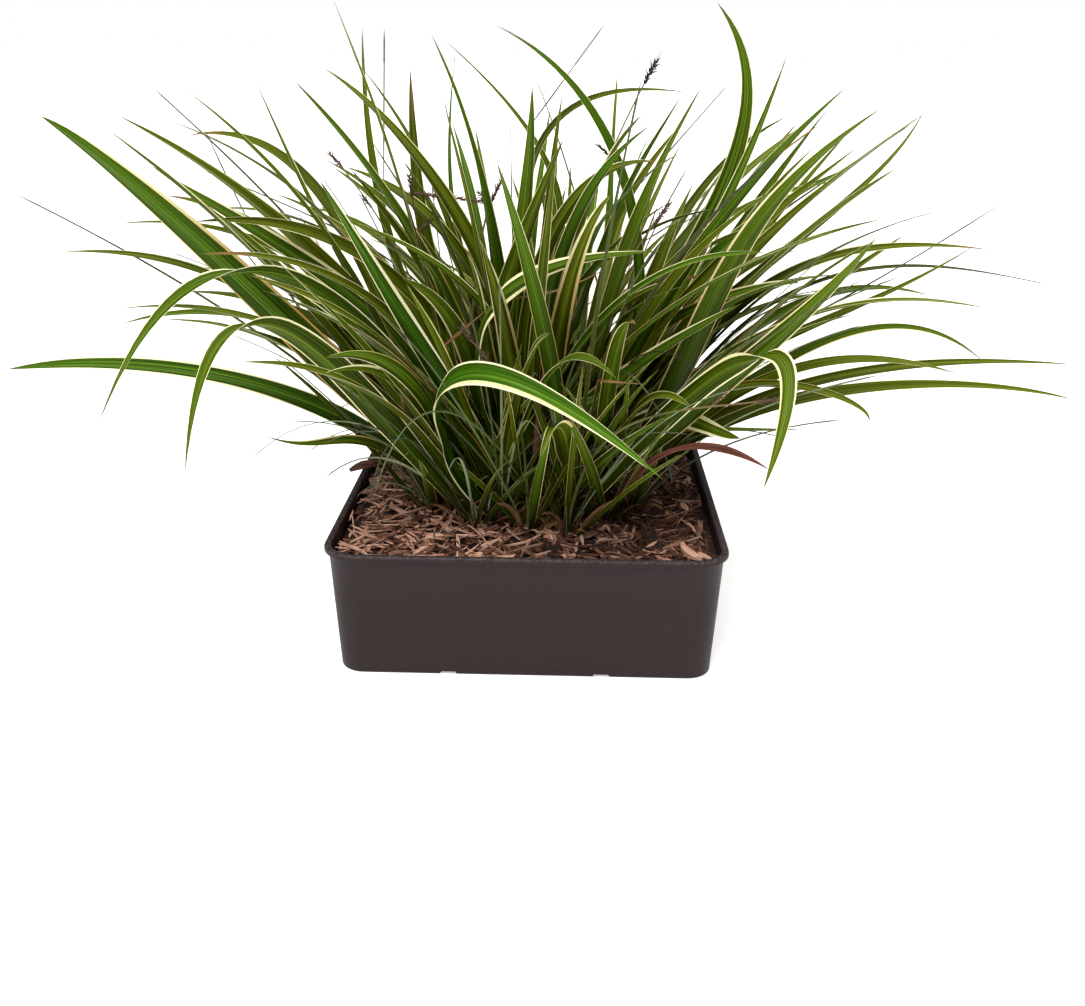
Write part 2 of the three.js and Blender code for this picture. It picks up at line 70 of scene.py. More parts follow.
POT_WIDTH = 150.0  # across the flats of the lip
POT_HEIGHT = 49.6
POT_CORNER = 14.0  # radius of the lip's corners
LIP_HEIGHT = 2.3
LIP_REACH = 1.7
POT_WALL = 1.2
POT_FLOOR = 3.0
FOOT_WIDTH = 141.0
POT_EDGE = 0.9  # small rounding of the lip and the foot
DRAIN_HOLES = 8
DRAIN_RING = 50.0
DRAIN_RADIUS = 4.5
GROOVE_DEPTH = 1.2
GROOVE_WIDTH = 6.0
POT_SHARP = 40  # the pot's edges look sharp from this many degrees
MULCH_TOP = 44.0

SITES = 41  # places of a sunflower spiral, one for each stem
CLUMP_RADIUS = 44.0
SITE_TURN = 137.508
SITE_START = 20.0
FLOWER_SITES = (3, 9, 15, 22, 28, 36)
DEAD_SITES = (31, 37, 40)

STEM_FOOT = 24.0
STEM_TOP = 72.0
STEM_FOOT_RADIUS = 3.8
STEM_TOP_RADIUS = 1.3
STALK_FOOT = 26.0
STALK_KNEE = 100.0
DEAD_KNEE = 74.0

LEAVES_PER_STEM = 7
ROOT_HEIGHT = 48.0
ROOT_STEP = 2.5  # each further leaf of a stem starts this much higher
ROOT_OFFSET = 1.0
FACING = 0.8  # how far a noted leaf turns its broad side to the front
FACING_AT = 0.45  # and where on its line
NOTED_RINGS = 6
DRAWN_RINGS = 5
SLIM_CHANCE = 0.16  # of a drawn leaf
SLIM_WIDTHS = (1.8, 2.6)
BROAD_WIDTHS = (5, 10.5)
CAD_KEEL = 1.1
CAD_SLIM_KEEL = 0.9
BLUNTNESS = 2.6  # of a leaf's tip: the larger, the later it tapers

# The leaves that give the clump its outline, each a curve from its stem:
# stem site, leaf width, knee [x, z], bend [x, z], tip [x, y, z]. A last number says where along its
# line the leaf's broad side looks to the front, if not a little below the middle.
NOTED_LEAVES = [
    # in front, over the pot
    [20, 12, [-50, 90], [-40, 160], [45, -115, 95], 0.75],
    [12, 10, [-45, 115], [-100, 210], [-145, -85, 100]],
    [33, 11, [-55, 95], [-100, 195], [-110, -105, 90]],
    [23, 7, [45, 95], [110, 175], [80, -95, 85], 0.75],
    [23, 10, [60, 100], [95, 130], [115, -70, 165]],
    [7, 8, [-25, 105], [-35, 155], [45, -75, 160], 0.75],
    [10, 7, [45, 105], [60, 85], [75, -70, 95]],
    [39, 4, [45, 130], [130, 105], [120, -65, 100]],
    [10, 3.8, [20, 95], [55, 85], [105, -40, 90]],
    [25, 4.5, [-70, 100], [-70, 75], [-95, -60, 90]],
    # the tall ones
    [16, 10.5, [50, 130], [110, 195], [70, 40, 240]],
    [5, 9, [30, 100], [65, 135], [90, -15, 220]],
    [18, 10.5, [75, 130], [55, 165], [115, -60, 205]],
    [4, 7.6, [15, 115], [-40, 195], [-75, -20, 215]],
    [2, 7.6, [-20, 105], [0, 150], [0, -25, 210]],
    [5, 6.2, [55, 95], [55, 200], [-15, 10, 230]],
    [2, 8, [-15, 115], [5, 190], [45, -35, 185]],
    [4, 5.6, [5, 100], [-5, 145], [-65, -45, 165]],
    [6, 6, [-10, 120], [-50, 80], [-50, 30, 215]],
    [6, 4.6, [-30, 120], [65, 140], [-40, 70, 225]],
    [11, 4.6, [5, 120], [-50, 100], [-35, 60, 220]],
    [11, 5, [0, 120], [5, 170], [10, 45, 205]],
    [19, 4.6, [-55, 105], [-75, 155], [-75, 70, 230]],
    [19, 4.2, [-25, 120], [-35, 170], [-75, 60, 215]],
    [8, 2.4, [0, 120], [-40, 220], [65, 75, 205]],
    # to the left
    [25, 14, [-60, 100], [-135, 185], [-155, -75, 200]],
    [17, 9.5, [-20, 120], [-100, 155], [-135, -30, 180]],
    [7, 8.6, [-35, 105], [-55, 150], [-70, -60, 180]],
    [30, 7.5, [-70, 95], [-150, 110], [-210, -10, 100]],
    [30, 1.8, [-85, 100], [-150, 135], [-220, 35, 165]],
    [27, 2.4, [-85, 120], [-90, 60], [-145, 60, 195]],
    [27, 3.5, [-70, 105], [-95, 155], [-120, 60, 210]],
    [35, 7.5, [-65, 120], [-90, 200], [-155, 70, 185]],
    [35, 1.8, [-55, 120], [-140, 185], [-170, 80, 205]],
    [14, 1.8, [-20, 120], [-50, 135], [-160, 95, 170]],
    # to the right
    [21, 5.2, [35, 115], [140, 155], [160, 55, 200]],
    [21, 4.8, [50, 125], [90, 145], [150, 60, 155]],
    [26, 5.6, [65, 135], [105, 160], [180, 5, 150]],
    [26, 5, [85, 105], [135, 145], [175, -15, 110]],
    [34, 4.8, [70, 115], [120, 110], [180, 25, 150]],
    [34, 5.6, [80, 95], [145, 110], [220, 5, 105]],
    [39, 5.8, [65, 105], [165, 110], [205, -30, 100]],
    [39, 2.4, [80, 170], [170, 140], [220, 45, 130]],
    [29, 2.4, [40, 120], [80, 140], [165, 80, 195]],
    [13, 2.4, [50, 115], [60, 75], [195, 30, 170]],
    [0, 5, [25, 140], [110, 140], [100, -15, 140]],
]
# How some of them look: tone from fresh to old, left and right margin, dryness, warmth of the margins.
NOTED_LOOKS = {
    0: (0.0, 0.14, 0.46, 0.0, 0.0),
    1: (0.25, 0.12, 0.2, 0.0, 0.1),
    2: (0.35, 0.16, 0.12, 0.0, 0.1),
    3: (0.38, 0.2, 0.3, 0.0, 0.1),
    4: (0.3, 0.14, 0.14, 0.0, 0.5),
    5: (0.2, 0.34, 0.34, 0.0, 0.0),
    6: (0.35, 0.5, 0.35, 0.0, 0.1),
    10: (0.3, 0.1, 0.16, 0.0, 0.3),
    11: (0.25, 0.16, 0.16, 0.02, 0.6),
    12: (0.35, 0.12, 0.2, 0.02, 0.7),
    14: (0.3, 0.08, 0.08, 0.0, 0.2),
    17: (0.3, 0.14, 0.1, 0.0, 0.3),
    18: (0.5, 0.1, 0.1, 0.06, 0.6),
    19: (0.4, 0.1, 0.1, 0.0, 0.3),
    24: (0.55, 0.12, 0.12, 0.0, 0.5),
    25: (0.15, 0.22, 0.09, 0.0, 0.9),
    26: (0.2, 0.12, 0.3, 0.02, 0.3),
    27: (0.0, 0.34, 0.16, 0.0, 0.0),
    28: (0.1, 0.3, 0.24, 0.0, 0.0),
    29: (1.0, 0.05, 0.05, 0.0, 0.0),
    30: (0.7, 0.05, 0.05, 0.0, 0.0),
    33: (0.9, 0.05, 0.05, 0.0, 0.0),
    34: (0.9, 0.05, 0.05, 0.0, 0.0),
    36: (0.3, 0.2, 0.2, 0.0, 0.5),
    37: (0.6, 0.2, 0.2, 0.08, 0.7),
    43: (1.0, 0.05, 0.05, 0.0, 0.0),
    44: (1.0, 0.05, 0.05, 0.0, 0.0),
}
# Leaves that are fuller or blunter here than in the CAD model: width, bluntness and a further turn.
RESHAPED_LEAVES = {
    0: (12.8, 3.4, 0),
    3: (8.2, 7.0, 0),
    5: (10.5, 2.6, 0),
    6: (8.5, 6.0, 0),
    14: (9.0, 3.6, 0),
    18: (8.0, 8.0, 0),
    19: (4.6, 3.6, 0),
    22: (5.2, 3.6, 0),
    24: (3.6, 6.0, -30),
    28: (8.5, 5.0, 0),
}
# Leaves that turn over on their way: by how many degrees, where the turn starts and where it's full.
SWUNG_LEAVES = {
    0: (-30, 0.5, 0.3),
    1: (120, 0.54, 0.84),
    2: (110, 0.56, 0.88),
    3: (110, 0.68, 0.46),
    5: (60, 0.75, 0.55),
}
NOTED_BENDS = (0, 3, -3, 6, -6, 10, -10, 14, -14, 19, -19, 25, -25, 32, -32, 40, -40, 50, -50)
DRAWN_LEANS = (0, -6, 6, -12, 12)
DRAWN_TURNS = (0, 9, -9, 18, -18, 30, -30, 45, -45)

# Flower stalks: site, bend [x, y, z], tip [x, y, z], and the side spike's place and heading.
FLOWER_STALKS = [
    [3, [10, 40, 150], [50, 45, 222], 0.8, 200],
    [9, [-45, 10, 130], [-45, -20, 178], 0.84, 20],
    [15, [20, -35, 130], [48, -40, 170], 0.8, 300],
    [22, [-50, 40, 140], [-90, 60, 180], 0.82, 150],
    [28, [-5, -50, 105], [-20, -85, 135], 0.8, 240],
    [36, [45, -60, 100], [85, -80, 112], 0.82, 20],
]
STALK_RADIUS = 0.8
STALK_TIP_RADIUS = 0.3
RIPE_STALK = 0  # the row whose spike is ripe; the others are young
SPIKE_LENGTH = 10.0
SPIKE_START = 0.94  # on the stalk's line
SPIKE_AIM = 0.97  # where the line has the spike's direction
SIDE_SPIKE_LENGTH = 7.0
SIDE_SPIKE_LEAN = 48

# Withered leaves lie low: site, width, bend [x, y, z], tip [x, y, z].
DEAD_LEAVES = [
    [31, 3.6, [60, -45, 95], [88, -60, 80]],
    [37, 4.2, [40, 75, 110], [70, 100, 85]],
    [40, 4.0, [-55, 75, 120], [-90, 95, 90]],
]

# ---- the fine form that the CAD model leaves to this script ---------------------------------

BLADE_ALONG = 40  # faces along a leaf
BLADE_ACROSS = 8  # faces across one side of it
FINE_ALONG = 18  # the same for thin grass and dry strips
FINE_ACROSS = 2
BLADE_THICKNESS = 0.32
SLIM_WIDTH = 3.0  # narrower leaves are thin as wire, and have the slim keel in the CAD model
SLIM_SHARE = 0.85  # and are made this much of their width in the CAD model
WIRE_HALF = 0.33  # half of their width near the tip
KEEL_DEPTH = 1.35  # how far the midrib lies below the edges of a broad leaf
RIDGE_HEIGHT = 0.16  # the two low ridges beside the midrib
FULL_WIDTH = 12.0  # a leaf this wide tells its material a width of 1
NARROW_MARGINS = (0.05, 0.13)  # cream margins, as shares of half the width
BROAD_MARGINS = (0.22, 0.4)
BROAD_MARGIN_CHANCE = 0.12
LEAST_MARGIN = 0.05
WIRY_BLADES = 150
WIRY_ROOT = 46.0
WIRY_TOP = 200.0  # no drawn wiry blade reaches higher
YOUNG_BLADES = 5  # round each stem
YOUNG_ALONG = 16
YOUNG_ACROSS = 4
SHREDS = 2600
SHRED_BATCH = 130
SHRED_CUTS = 4
COARSE_CHANCE = 0.07
COARSE_SHRED = [(9, 19), (1.8, 3.6), (0.8, 1.5)]  # limits of length, width and thickness
FINE_SHRED = [(4, 16), (0.3, 1.4), (0.25, 0.7)]
HEAP_HEIGHT = 1.5
HEAP_WIDTH = 28.0
HEAP_SLOPE = 0.016  # the mulch rises this much a millimetre towards the left
BED_CORNER = 8.0  # radius of the corners of the ground that the shreds lie on
OLD_SHEATHS = 7  # round each stem
SHEATH_RING = 2.6  # how far from the stem's middle they start
SCALES = 26  # on a main flower spike
SCALES_PER_MM = 2.6  # on a leaning stalk's spikes
WITHERED_WIDENING = 1.25  # withered leaves are this much wider than in the CAD model
WITHERED_BLUNTNESS = 4
MERGE = 1e-4  # corners closer than this become one
SAME_PLACE = 0.03  # a corner this close to a CAD corner is the same corner
SAME_SHARE = 0.6  # and a leaf with more than this share of them is the same leaf

# Chips that catch the eye: middle, heading, slope, size and tone. The last lies on the rim.
NOTED_CHIPS = [
    [(60.5, -62.0, 47.6), -62, 3, (14, 3.4, 1.6), 1.0],
    [(67.0, -36.0, 47.0), -97, 2, (19, 1.6, 1.0), 0.5],
    [(63.6, -36.8, 48.4), -75, 8, (9, 0.8, 0.6), 1.0],
    [(62.6, -12.3, 47.8), -74, 5, (7, 2.6, 0.9), 1.0],
    [(66.0, -64.5, 47.8), -40, 10, (6, 1.6, 0.8), 0.9],
    [(63.5, -7.4, 48.2), -2, 2, (12, 0.5, 0.5), 0.8],
    [(-68.6, -37.0, 48.0), -76, 12, (14, 0.5, 0.5), 1.0],
    [(-72.5, 22, 52.0), 14, -8, (16, 4, 2.4), 0.25],
]
# Straight wiry blades that rise clear of the others.
LONE_WIRES = [
    [(-60, 15, 169), (-59, 25, 229)],
    [(-5, 15, 190), (26, 25, 231)],
    [(40, 20, 170), (77, 40, 210)],
    [(42, 10, 150), (66, 30, 162)],
]
LONE_WIDTH = 0.9
LONE_TRAITS = (0.9, LEAST_MARGIN, LEAST_MARGIN, 0, 0)
# Straws and a torn leaf caught in the clump: ends and a middle, width, and tone from red to straw.
DRY_STRAWS = [
    [[(-33, -48, 119), (-13, -46, 136)], 1.6, 0.55],
    [[(-42, -50, 92), (-46.5, -60, 106), (-37, -62, 116.5)], 1.7, 0.8],
    [[(-10, -54, 139), (12, -50, 142), (27, -45, 149)], 1.1, 0.6],
    [[(24, -70, 115), (39, -76, 115.6)], 1.2, 0.9],
    [[(2, -36, 74), (4, -50, 106), (9, -55, 127)], 4.2, 0.0],
]
# A flower stalk that leans through the clump, and its spikes: start, lean, heading and length.
LEANING_STALK = [(-24, 2, 44), (-26, 0, 100), (-25, -8, 135), (-16, -14, 168)]
LEANING_SPIKES = [
    [(-44, -14, 171), 96, 0, 27],
    [(-16, -14, 167), 25, 0, 11],
    [(-16, -14, 167), 40, 180, 6],
]
LEANING_RADIUS = 0.7
LEANING_TIP_RADIUS = 0.45

# Where the draws for each kind of piece start. The leaves' start is the CAD model's.
SEEDS = {
    "leaves": 4021,
    "looks": 613,
    "wiry grass": 91,
    "young blades": 271,
    "old sheaths": 457,
    "flowers": 1201,
    "leaning flower": 877,
    "bark": 2027,
}
FLOWER_SEED_STEP = 37

# ---- the studio, in metres and degrees -------------------------------------------------------

CAMERA_PLACE = (0.01488, -0.472, 0.2199)
CAMERA_YAW = 1.25  # to the left
CAMERA_PITCH = 20.49  # downwards
CAMERA_ROLL = 0.59
CAMERA_LENS = 39.82  # focal length and sensor in millimetres
CAMERA_SENSOR = 36
ROOM_LIGHT = 0.18  # strength of the light from all round
# Soft lights from above: place, strength and how wide their disc of sky is.
SUNS = {"key_light": [(-0.45, -0.8, 1.2), 3.1, 36], "top_light": [(0.35, 0.1, 1.3), 1.7, 55]}
PAPER_WHITE = "#f4f4f3"
PAPER_GLOW = 0.5
FLOOR_REACH = 30


def seeded_random(seed):
    """Park and Miller's generator, as in the CAD model: the same draws on every run."""
    state = seed

    def draw():
        nonlocal state
        state = (state * 16807) % 2147483647
        return state / 2147483647

    return draw


def between(draw, low, high):
    return low + (high - low) * draw()


def one_of(draw, chance, first, other):
    """A number from the first range, by this chance, or else from the other."""
    return between(draw, *(first if draw() < chance else other))


def direction(lean, heading):
    across = sin(radians(lean))
    return Vector((across * cos(radians(heading)), across * sin(radians(heading)), cos(radians(lean))))


def spin(degrees, axis="Z"):
    return Matrix.Rotation(radians(degrees), 4, axis)


def site_place(site):
    """x, y and distance from the middle of one stem's place."""
    reach = CLUMP_RADIUS * sqrt((site + 0.5) / SITES)
    angle = radians(SITE_TURN * site + SITE_START)
    return reach * cos(angle), reach * sin(angle), reach


# ---- leaves ----------------------------------------------------------------------------------


class Leaf:
    """A leaf's line, width and turn, by the same formulas as in the CAD model."""

    def __init__(self, points, width, roll=0.0, twist=0.0, rings=NOTED_RINGS):
        self.points = points
        self.width = width
        self.roll = roll
        self.twist = twist
        self.rings = rings
        self.look = None
        self.bluntness = BLUNTNESS
        self.swing = None

    def at(self, t):
        root, knee, bend, tip = self.points
        s = 1 - t
        return root * s**3 + knee * (3 * s * s * t) + bend * (3 * s * t * t) + tip * t**3

    def along(self, t):
        root, knee, bend, tip = self.points
        s = 1 - t
        slope = (knee - root) * (s * s) + (bend - knee) * (2 * s * t) + (tip - bend) * (t * t)
        return slope.normalized()

    def frame(self, t):
        """Across the leaf, and out of its upper face."""
        along = self.along(t)
        root, tip = self.points[0], self.points[3]
        left = Vector((root.y - tip.y, tip.x - root.x, 0)).normalized()
        inward = along.cross(left).normalized()
        side = inward.cross(along)
        turn = radians(self.roll + self.twist * t + self.swung(t))
        face = inward * cos(turn) + side * sin(turn)
        return along.cross(face), face

    def swung(self, t):
        """The part of a swung leaf's turn that is reached at t."""
        if not self.swing:
            return 0
        degrees, start, full = self.swing
        share = min(1, max(0, (t - start) / (full - start)))
        return degrees * share * share * (3 - 2 * share)

    def taper(self, t):
        """The share of the width that is left at t."""
        return (1 - t**self.bluntness) ** 0.9

    def opened(self, t):
        """How far the folded halves have opened at t."""
        return min(1, 0.3 + 2.2 * t)

    def cad_corners(self):
        """The corners of this leaf's upper rings and its tip in the CAD model."""
        keel = CAD_SLIM_KEEL if self.width < SLIM_WIDTH else CAD_KEEL
        corners = [self.at(1)]
        for ring in range(2, self.rings):
            t = ring / self.rings
            across, face = self.frame(t)
            half = self.width / 2 * self.opened(t) * self.taper(t)
            middle = self.at(t)
            corners += [middle - across * half, middle + across * half, middle - face * keel]
        return corners


def strand(points, width):
    """A loose leaf along a line given by its ends and perhaps a middle."""
    start, *between_ends, end = (Vector(point) for point in points)
    middle = between_ends[0] if between_ends else (start + end) / 2
    return Leaf([start, middle, middle, end], width, roll=-60, twist=40)


def front_roll(points, t):
    """The turn about its own line that brings a leaf's broad side most of the way to the front at t."""
    across, face = Leaf(points, 1).frame(t)
    front = Vector((0, -0.94, 0.35))
    return FACING * math.degrees(math.atan(-front.dot(across) / front.dot(face)))


def noted_leaf(row, order, bend_y):
    site, width, knee, bend, tip_at, *facing_at = row
    x, y, _ = site_place(site)
    tip = Vector(tip_at)
    away = Vector((tip.x - x, tip.y - y, 0)).normalized()
    root = Vector((x, y, ROOT_HEIGHT + ROOT_STEP * order)) + away * ROOT_OFFSET
    knee_y = root.y + 0.3 * (tip.y - root.y) + 0.6 * bend_y
    bend_at_y = root.y + 0.66 * (tip.y - root.y) + bend_y
    points = [root, Vector((knee[0], knee_y, knee[1])), Vector((bend[0], bend_at_y, bend[1])), tip]
    roll = front_roll(points, *(facing_at or [FACING_AT]))
    return Leaf(points, width, roll)


def drawn_plan(site, order, draw):
    """A drawn leaf's numbers, drawn in the CAD model's order."""
    edge = site_place(site)[2] / CLUMP_RADIUS
    width = one_of(draw, SLIM_CHANCE, SLIM_WIDTHS, BROAD_WIDTHS)
    spread = (order - (LEAVES_PER_STEM - 1) / 2) * (360 / LEAVES_PER_STEM) * (1 - 0.5 * edge)
    heading = SITE_TURN * site + SITE_START + spread + between(draw, -22, 22)
    return {
        "site": site,
        "root_z": ROOT_HEIGHT + ROOT_STEP * order,
        "width": width,
        "heading": heading,
        "length": between(draw, 105, 190),
        "lean": 3 + 22 * edge + between(draw, -3, 12),
        "mid_lean": between(draw, 4, 26),
        "tip_lean": between(draw, 6, 60),
        "roll": between(draw, -75, 75),
        "twist": between(draw, -50, 50),
    }


def bent_leaf(plan, turn=0, tilt=0, rings=DRAWN_RINGS):
    heading = plan["heading"] + turn
    lean = max(2, plan["lean"] + tilt)
    x, y, _ = site_place(plan["site"])
    length = plan["length"]
    root = Vector((x, y, plan["root_z"])) + direction(90, heading) * ROOT_OFFSET
    knee = root + direction(lean, heading) * (0.36 * length)
    bend = knee + direction(lean + plan["mid_lean"], heading) * (0.34 * length)
    tip = bend + direction(lean + plan["mid_lean"] + plan["tip_lean"], heading) * (0.36 * length)
    return Leaf([root, knee, bend, tip], plan["width"], plan["roll"], plan["twist"], rings)


def corner_finder(node):
    """Finds the nearest corner, in millimetres, of a CAD node's mesh."""
    corners = [vert.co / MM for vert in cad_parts[node].data.vertices]
    finder = kdtree.KDTree(len(corners))
    for index, corner in enumerate(corners):
        finder.insert(corner, index)
    finder.balance()
    return finder


def first_grown(options, finder):
    """The option that the CAD stem holds: most of its corners are corners of the stem's mesh."""
    for leaf in options:
        corners = leaf.cad_corners()
        found = sum(finder.find(corner)[2] < SAME_PLACE for corner in corners)
        if found > SAME_SHARE * len(corners):
            return leaf
    return None


def grown_leaves(stems):
    """The leaves of every stem as the CAD model grew them: {site: [leaf, ...]}."""
    finders = {site: corner_finder(node) for site, node in stems.items()}
    leaves = {site: [] for site in stems}
    orders = {site: 0 for site in stems}
    for index, row in enumerate(NOTED_LEAVES):
        site = row[0]
        options = (noted_leaf(row, orders[site], bend) for bend in NOTED_BENDS)
        leaf = first_grown(options, finders[site])
        if leaf:
            leaf.look = NOTED_LOOKS.get(index)
            if index in RESHAPED_LEAVES:
                leaf.width, leaf.bluntness, turn = RESHAPED_LEAVES[index]
                leaf.roll += turn
            leaf.swing = SWUNG_LEAVES.get(index)
        leaves[site].append(leaf)
        orders[site] += 1
    draw = seeded_random(SEEDS["leaves"])
    for site in stems:
        for order in range(orders[site], LEAVES_PER_STEM):
            plan = drawn_plan(site, order, draw)
            options = (bent_leaf(plan, turn, tilt) for tilt in DRAWN_LEANS for turn in DRAWN_TURNS)
            leaves[site].append(first_grown(options, finders[site]))
    return {site: [leaf for leaf in found if leaf] for site, found in leaves.items()}


# ---- making pieces ---------------------------------------------------------------------------


def finished_mesh(bm, name):
    mesh = bpy.data.meshes.new(name)
    bm.to_mesh(mesh)
    bm.free()
    return mesh


def placed_object(name, data):
    """Puts a mesh, a light or a camera into the scene."""
    item = bpy.data.objects.new(name, data)
    bpy.context.scene.collection.objects.link(item)
    return item


def add_cone(bm, segments, radius, tip_radius, length, matrix):
    """A closed cone that stands on the origin of the matrix. Returns its corners."""
    cone = bmesh.ops.create_cone(
        bm,
        cap_ends=True,
        segments=segments,
        radius1=radius,
        radius2=tip_radius,
        depth=length,
        matrix=matrix @ Matrix.Translation((0, 0, length / 2)),
    )
    return cone["verts"]


def finish_piece(bm, name, material, replaces=(), sharp=50):
    """Turns a mesh in millimetres into a piece of the object, in metres, that rides on the pot."""
    bmesh.ops.recalc_face_normals(bm, faces=bm.faces)
    bmesh.ops.scale(bm, vec=(MM, MM, MM), verts=bm.verts)
    for face in bm.faces:
        face.smooth = True
    mesh = finished_mesh(bm, name)
    mesh.set_sharp_from_angle(angle=radians(sharp))
    mesh.materials.append(material)
    piece = placed_object(name, mesh)
    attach(piece, "root")
    if replaces:
        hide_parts(*replaces)
    return piece


def leaf_mesh():
    """An empty mesh whose corners carry their place on a leaf and that leaf's traits."""
    bm = bmesh.new()
    bm.verts.layers.float_color.new("leaf_place")
    bm.verts.layers.float_color.new("leaf_traits")
    return bm


def add_blade(bm, leaf, traits, along=BLADE_ALONG, across=BLADE_ACROSS, wobble=0.0):
    """A thin, folded blade, closed at its foot and its tip.

    A grid is wrapped round the leaf: half of its columns make the upper face and half the under face.
    """
    place_layer = bm.verts.layers.float_color["leaf_place"]
    traits_layer = bm.verts.layers.float_color["leaf_traits"]
    grid = bmesh.ops.create_grid(bm, x_segments=2 * across, y_segments=along, size=1)["verts"]
    rows = [blade_section(leaf, row / along) for row in range(along + 1)]
    for vert in grid:
        column = round((vert.co.x + 1) * across)
        row = round((vert.co.y + 1) / 2 * along)
        under = column > across
        u = 1 - 2 * (column - across) / across if under else 2 * column / across - 1
        middle, side, face, half, rise, keel, thickness = rows[row]
        lift = half * abs(u) * rise - keel + RIDGE_HEIGHT * min(1, half / 4) * sin(pi * abs(u)) ** 2
        lift += wobble * u * sin(9 * row / along + 7 * traits[0]) * min(1, half / 2)
        if under:
            lift -= thickness * sqrt(max(0, 1 - u * u))
        flat = sqrt(1 - rise * rise)
        vert.co = middle + side * (half * u * flat) + face * lift
        vert[place_layer] = ((u + 1) / 2, row / along, leaf.width / FULL_WIDTH, traits[4])
        vert[traits_layer] = traits[:4]
    bmesh.ops.remove_doubles(bm, verts=grid, dist=MERGE)


def blade_section(leaf, t):
    """Middle, side, face, half width, slope of the folded halves, midrib depth and thickness at t."""
    side, face = leaf.frame(t)
    if t in (0, 1):
        return leaf.at(t), side, face, 0, 0, 0, 0
    full = min(1, 0.75 + 0.8 * t)
    open_share = leaf.opened(t) / full
    half = leaf.width / 2 * full * leaf.taper(t)
    if leaf.width < SLIM_WIDTH:
        half = max(half, WIRE_HALF * min(1, 20 * (1 - t)))
    keel = min(KEEL_DEPTH, 0.42 * half)
    rise = max(sqrt(max(0, 1 - open_share**2)), keel / half)
    thickness = BLADE_THICKNESS * min(1, half / 0.8)
    return leaf.at(t), side, face, half, rise, keel, thickness


def leaf_traits(draw, leaf):
    """Tone, left and right margin as a share of the half width, dryness, and warmth of the margins."""
    left = one_of(draw, BROAD_MARGIN_CHANCE, BROAD_MARGINS, NARROW_MARGINS)
    right = one_of(draw, BROAD_MARGIN_CHANCE, BROAD_MARGINS, NARROW_MARGINS)
    if leaf.width < SLIM_WIDTH:
        left = right = LEAST_MARGIN
    dryness = between(draw, 0.03, 0.12) if draw() < 0.14 else 0.01
    drawn = (draw(), left, right, dryness, between(draw, 0.5, 1.0))
    return leaf.look or drawn


def make_leafy_stem(name, node, site, leaves, draw, material):
    bm = leaf_mesh()
    for leaf in leaves:
        traits = leaf_traits(draw, leaf)
        if leaf.width < SLIM_WIDTH:
            leaf.width *= SLIM_SHARE
        add_blade(bm, leaf, traits, wobble=0.5)
    add_sheath(bm, site, draw())
    finish_piece(bm, name, material, [node])


def add_sheath(bm, site, tone):
    """The rolled leaf bases of one stem: a slim cone with a few folds round it."""
    x, y, _ = site_place(site)
    foot = Matrix.Translation((x, y, STEM_FOOT))
    cone = add_cone(bm, 20, STEM_FOOT_RADIUS, STEM_TOP_RADIUS, STEM_TOP - STEM_FOOT, foot)
    place_layer = bm.verts.layers.float_color["leaf_place"]
    traits_layer = bm.verts.layers.float_color["leaf_traits"]
    for vert in cone:
        angle = math.atan2(vert.co.y - y, vert.co.x - x)
        fold = 1 + 0.16 * cos(3 * angle + 6 * tone)
        vert.co.x = x + (vert.co.x - x) * fold
        vert.co.y = y + (vert.co.y - y) * fold
        height = (vert.co.z - STEM_FOOT) / (STEM_TOP - STEM_FOOT)
        vert[place_layer] = (0.5 + 0.4 * cos(angle), 0.09 * height, 0.5, 1)
        vert[traits_layer] = (tone, 0.3, 0.3, 0)


# ---- thin grass, dry strips and withered leaves ----------------------------------------------


def make_wiry_grass(material):
    """Thin, wiry young blades between the broad ones."""
    draw = seeded_random(SEEDS["wiry grass"])
    bm = leaf_mesh()
    for _ in range(WIRY_BLADES):
        site = int(between(draw, 0, SITES))
        edge = site_place(site)[2] / CLUMP_RADIUS
        plan = {
            "site": site,
            "root_z": WIRY_ROOT,
            "width": between(draw, 0.7, 1.5),
            "heading": SITE_TURN * site + SITE_START + between(draw, -70, 70),
            "length": one_of(draw, 0.5, (70, 165), (30, 90)),
            "lean": 4 + 26 * edge + between(draw, -4, 10),
            "mid_lean": between(draw, -6, 30),
            "tip_lean": one_of(draw, 0.75, (0, 45), (60, 130)),
            "roll": between(draw, -80, 80),
            "twist": between(draw, -60, 60),
        }
        traits = (draw(), LEAST_MARGIN, LEAST_MARGIN, between(draw, 0, 0.3), 0)
        leaf = bent_leaf(plan)
        if inside_clump(leaf.at(1)) and leaf.at(1).z < WIRY_TOP:
            add_blade(bm, leaf, traits, FINE_ALONG, FINE_ACROSS)
    for points in LONE_WIRES:
        add_blade(bm, strand(points, LONE_WIDTH), LONE_TRAITS, FINE_ALONG, FINE_ACROSS)
    finish_piece(bm, "wiry_grass", material)


def inside_clump(spot):
    """Whether a tip stays within the CAD model's box."""
    return all(low < value * MM < high for low, value, high in zip(cad_low, spot, cad_high))


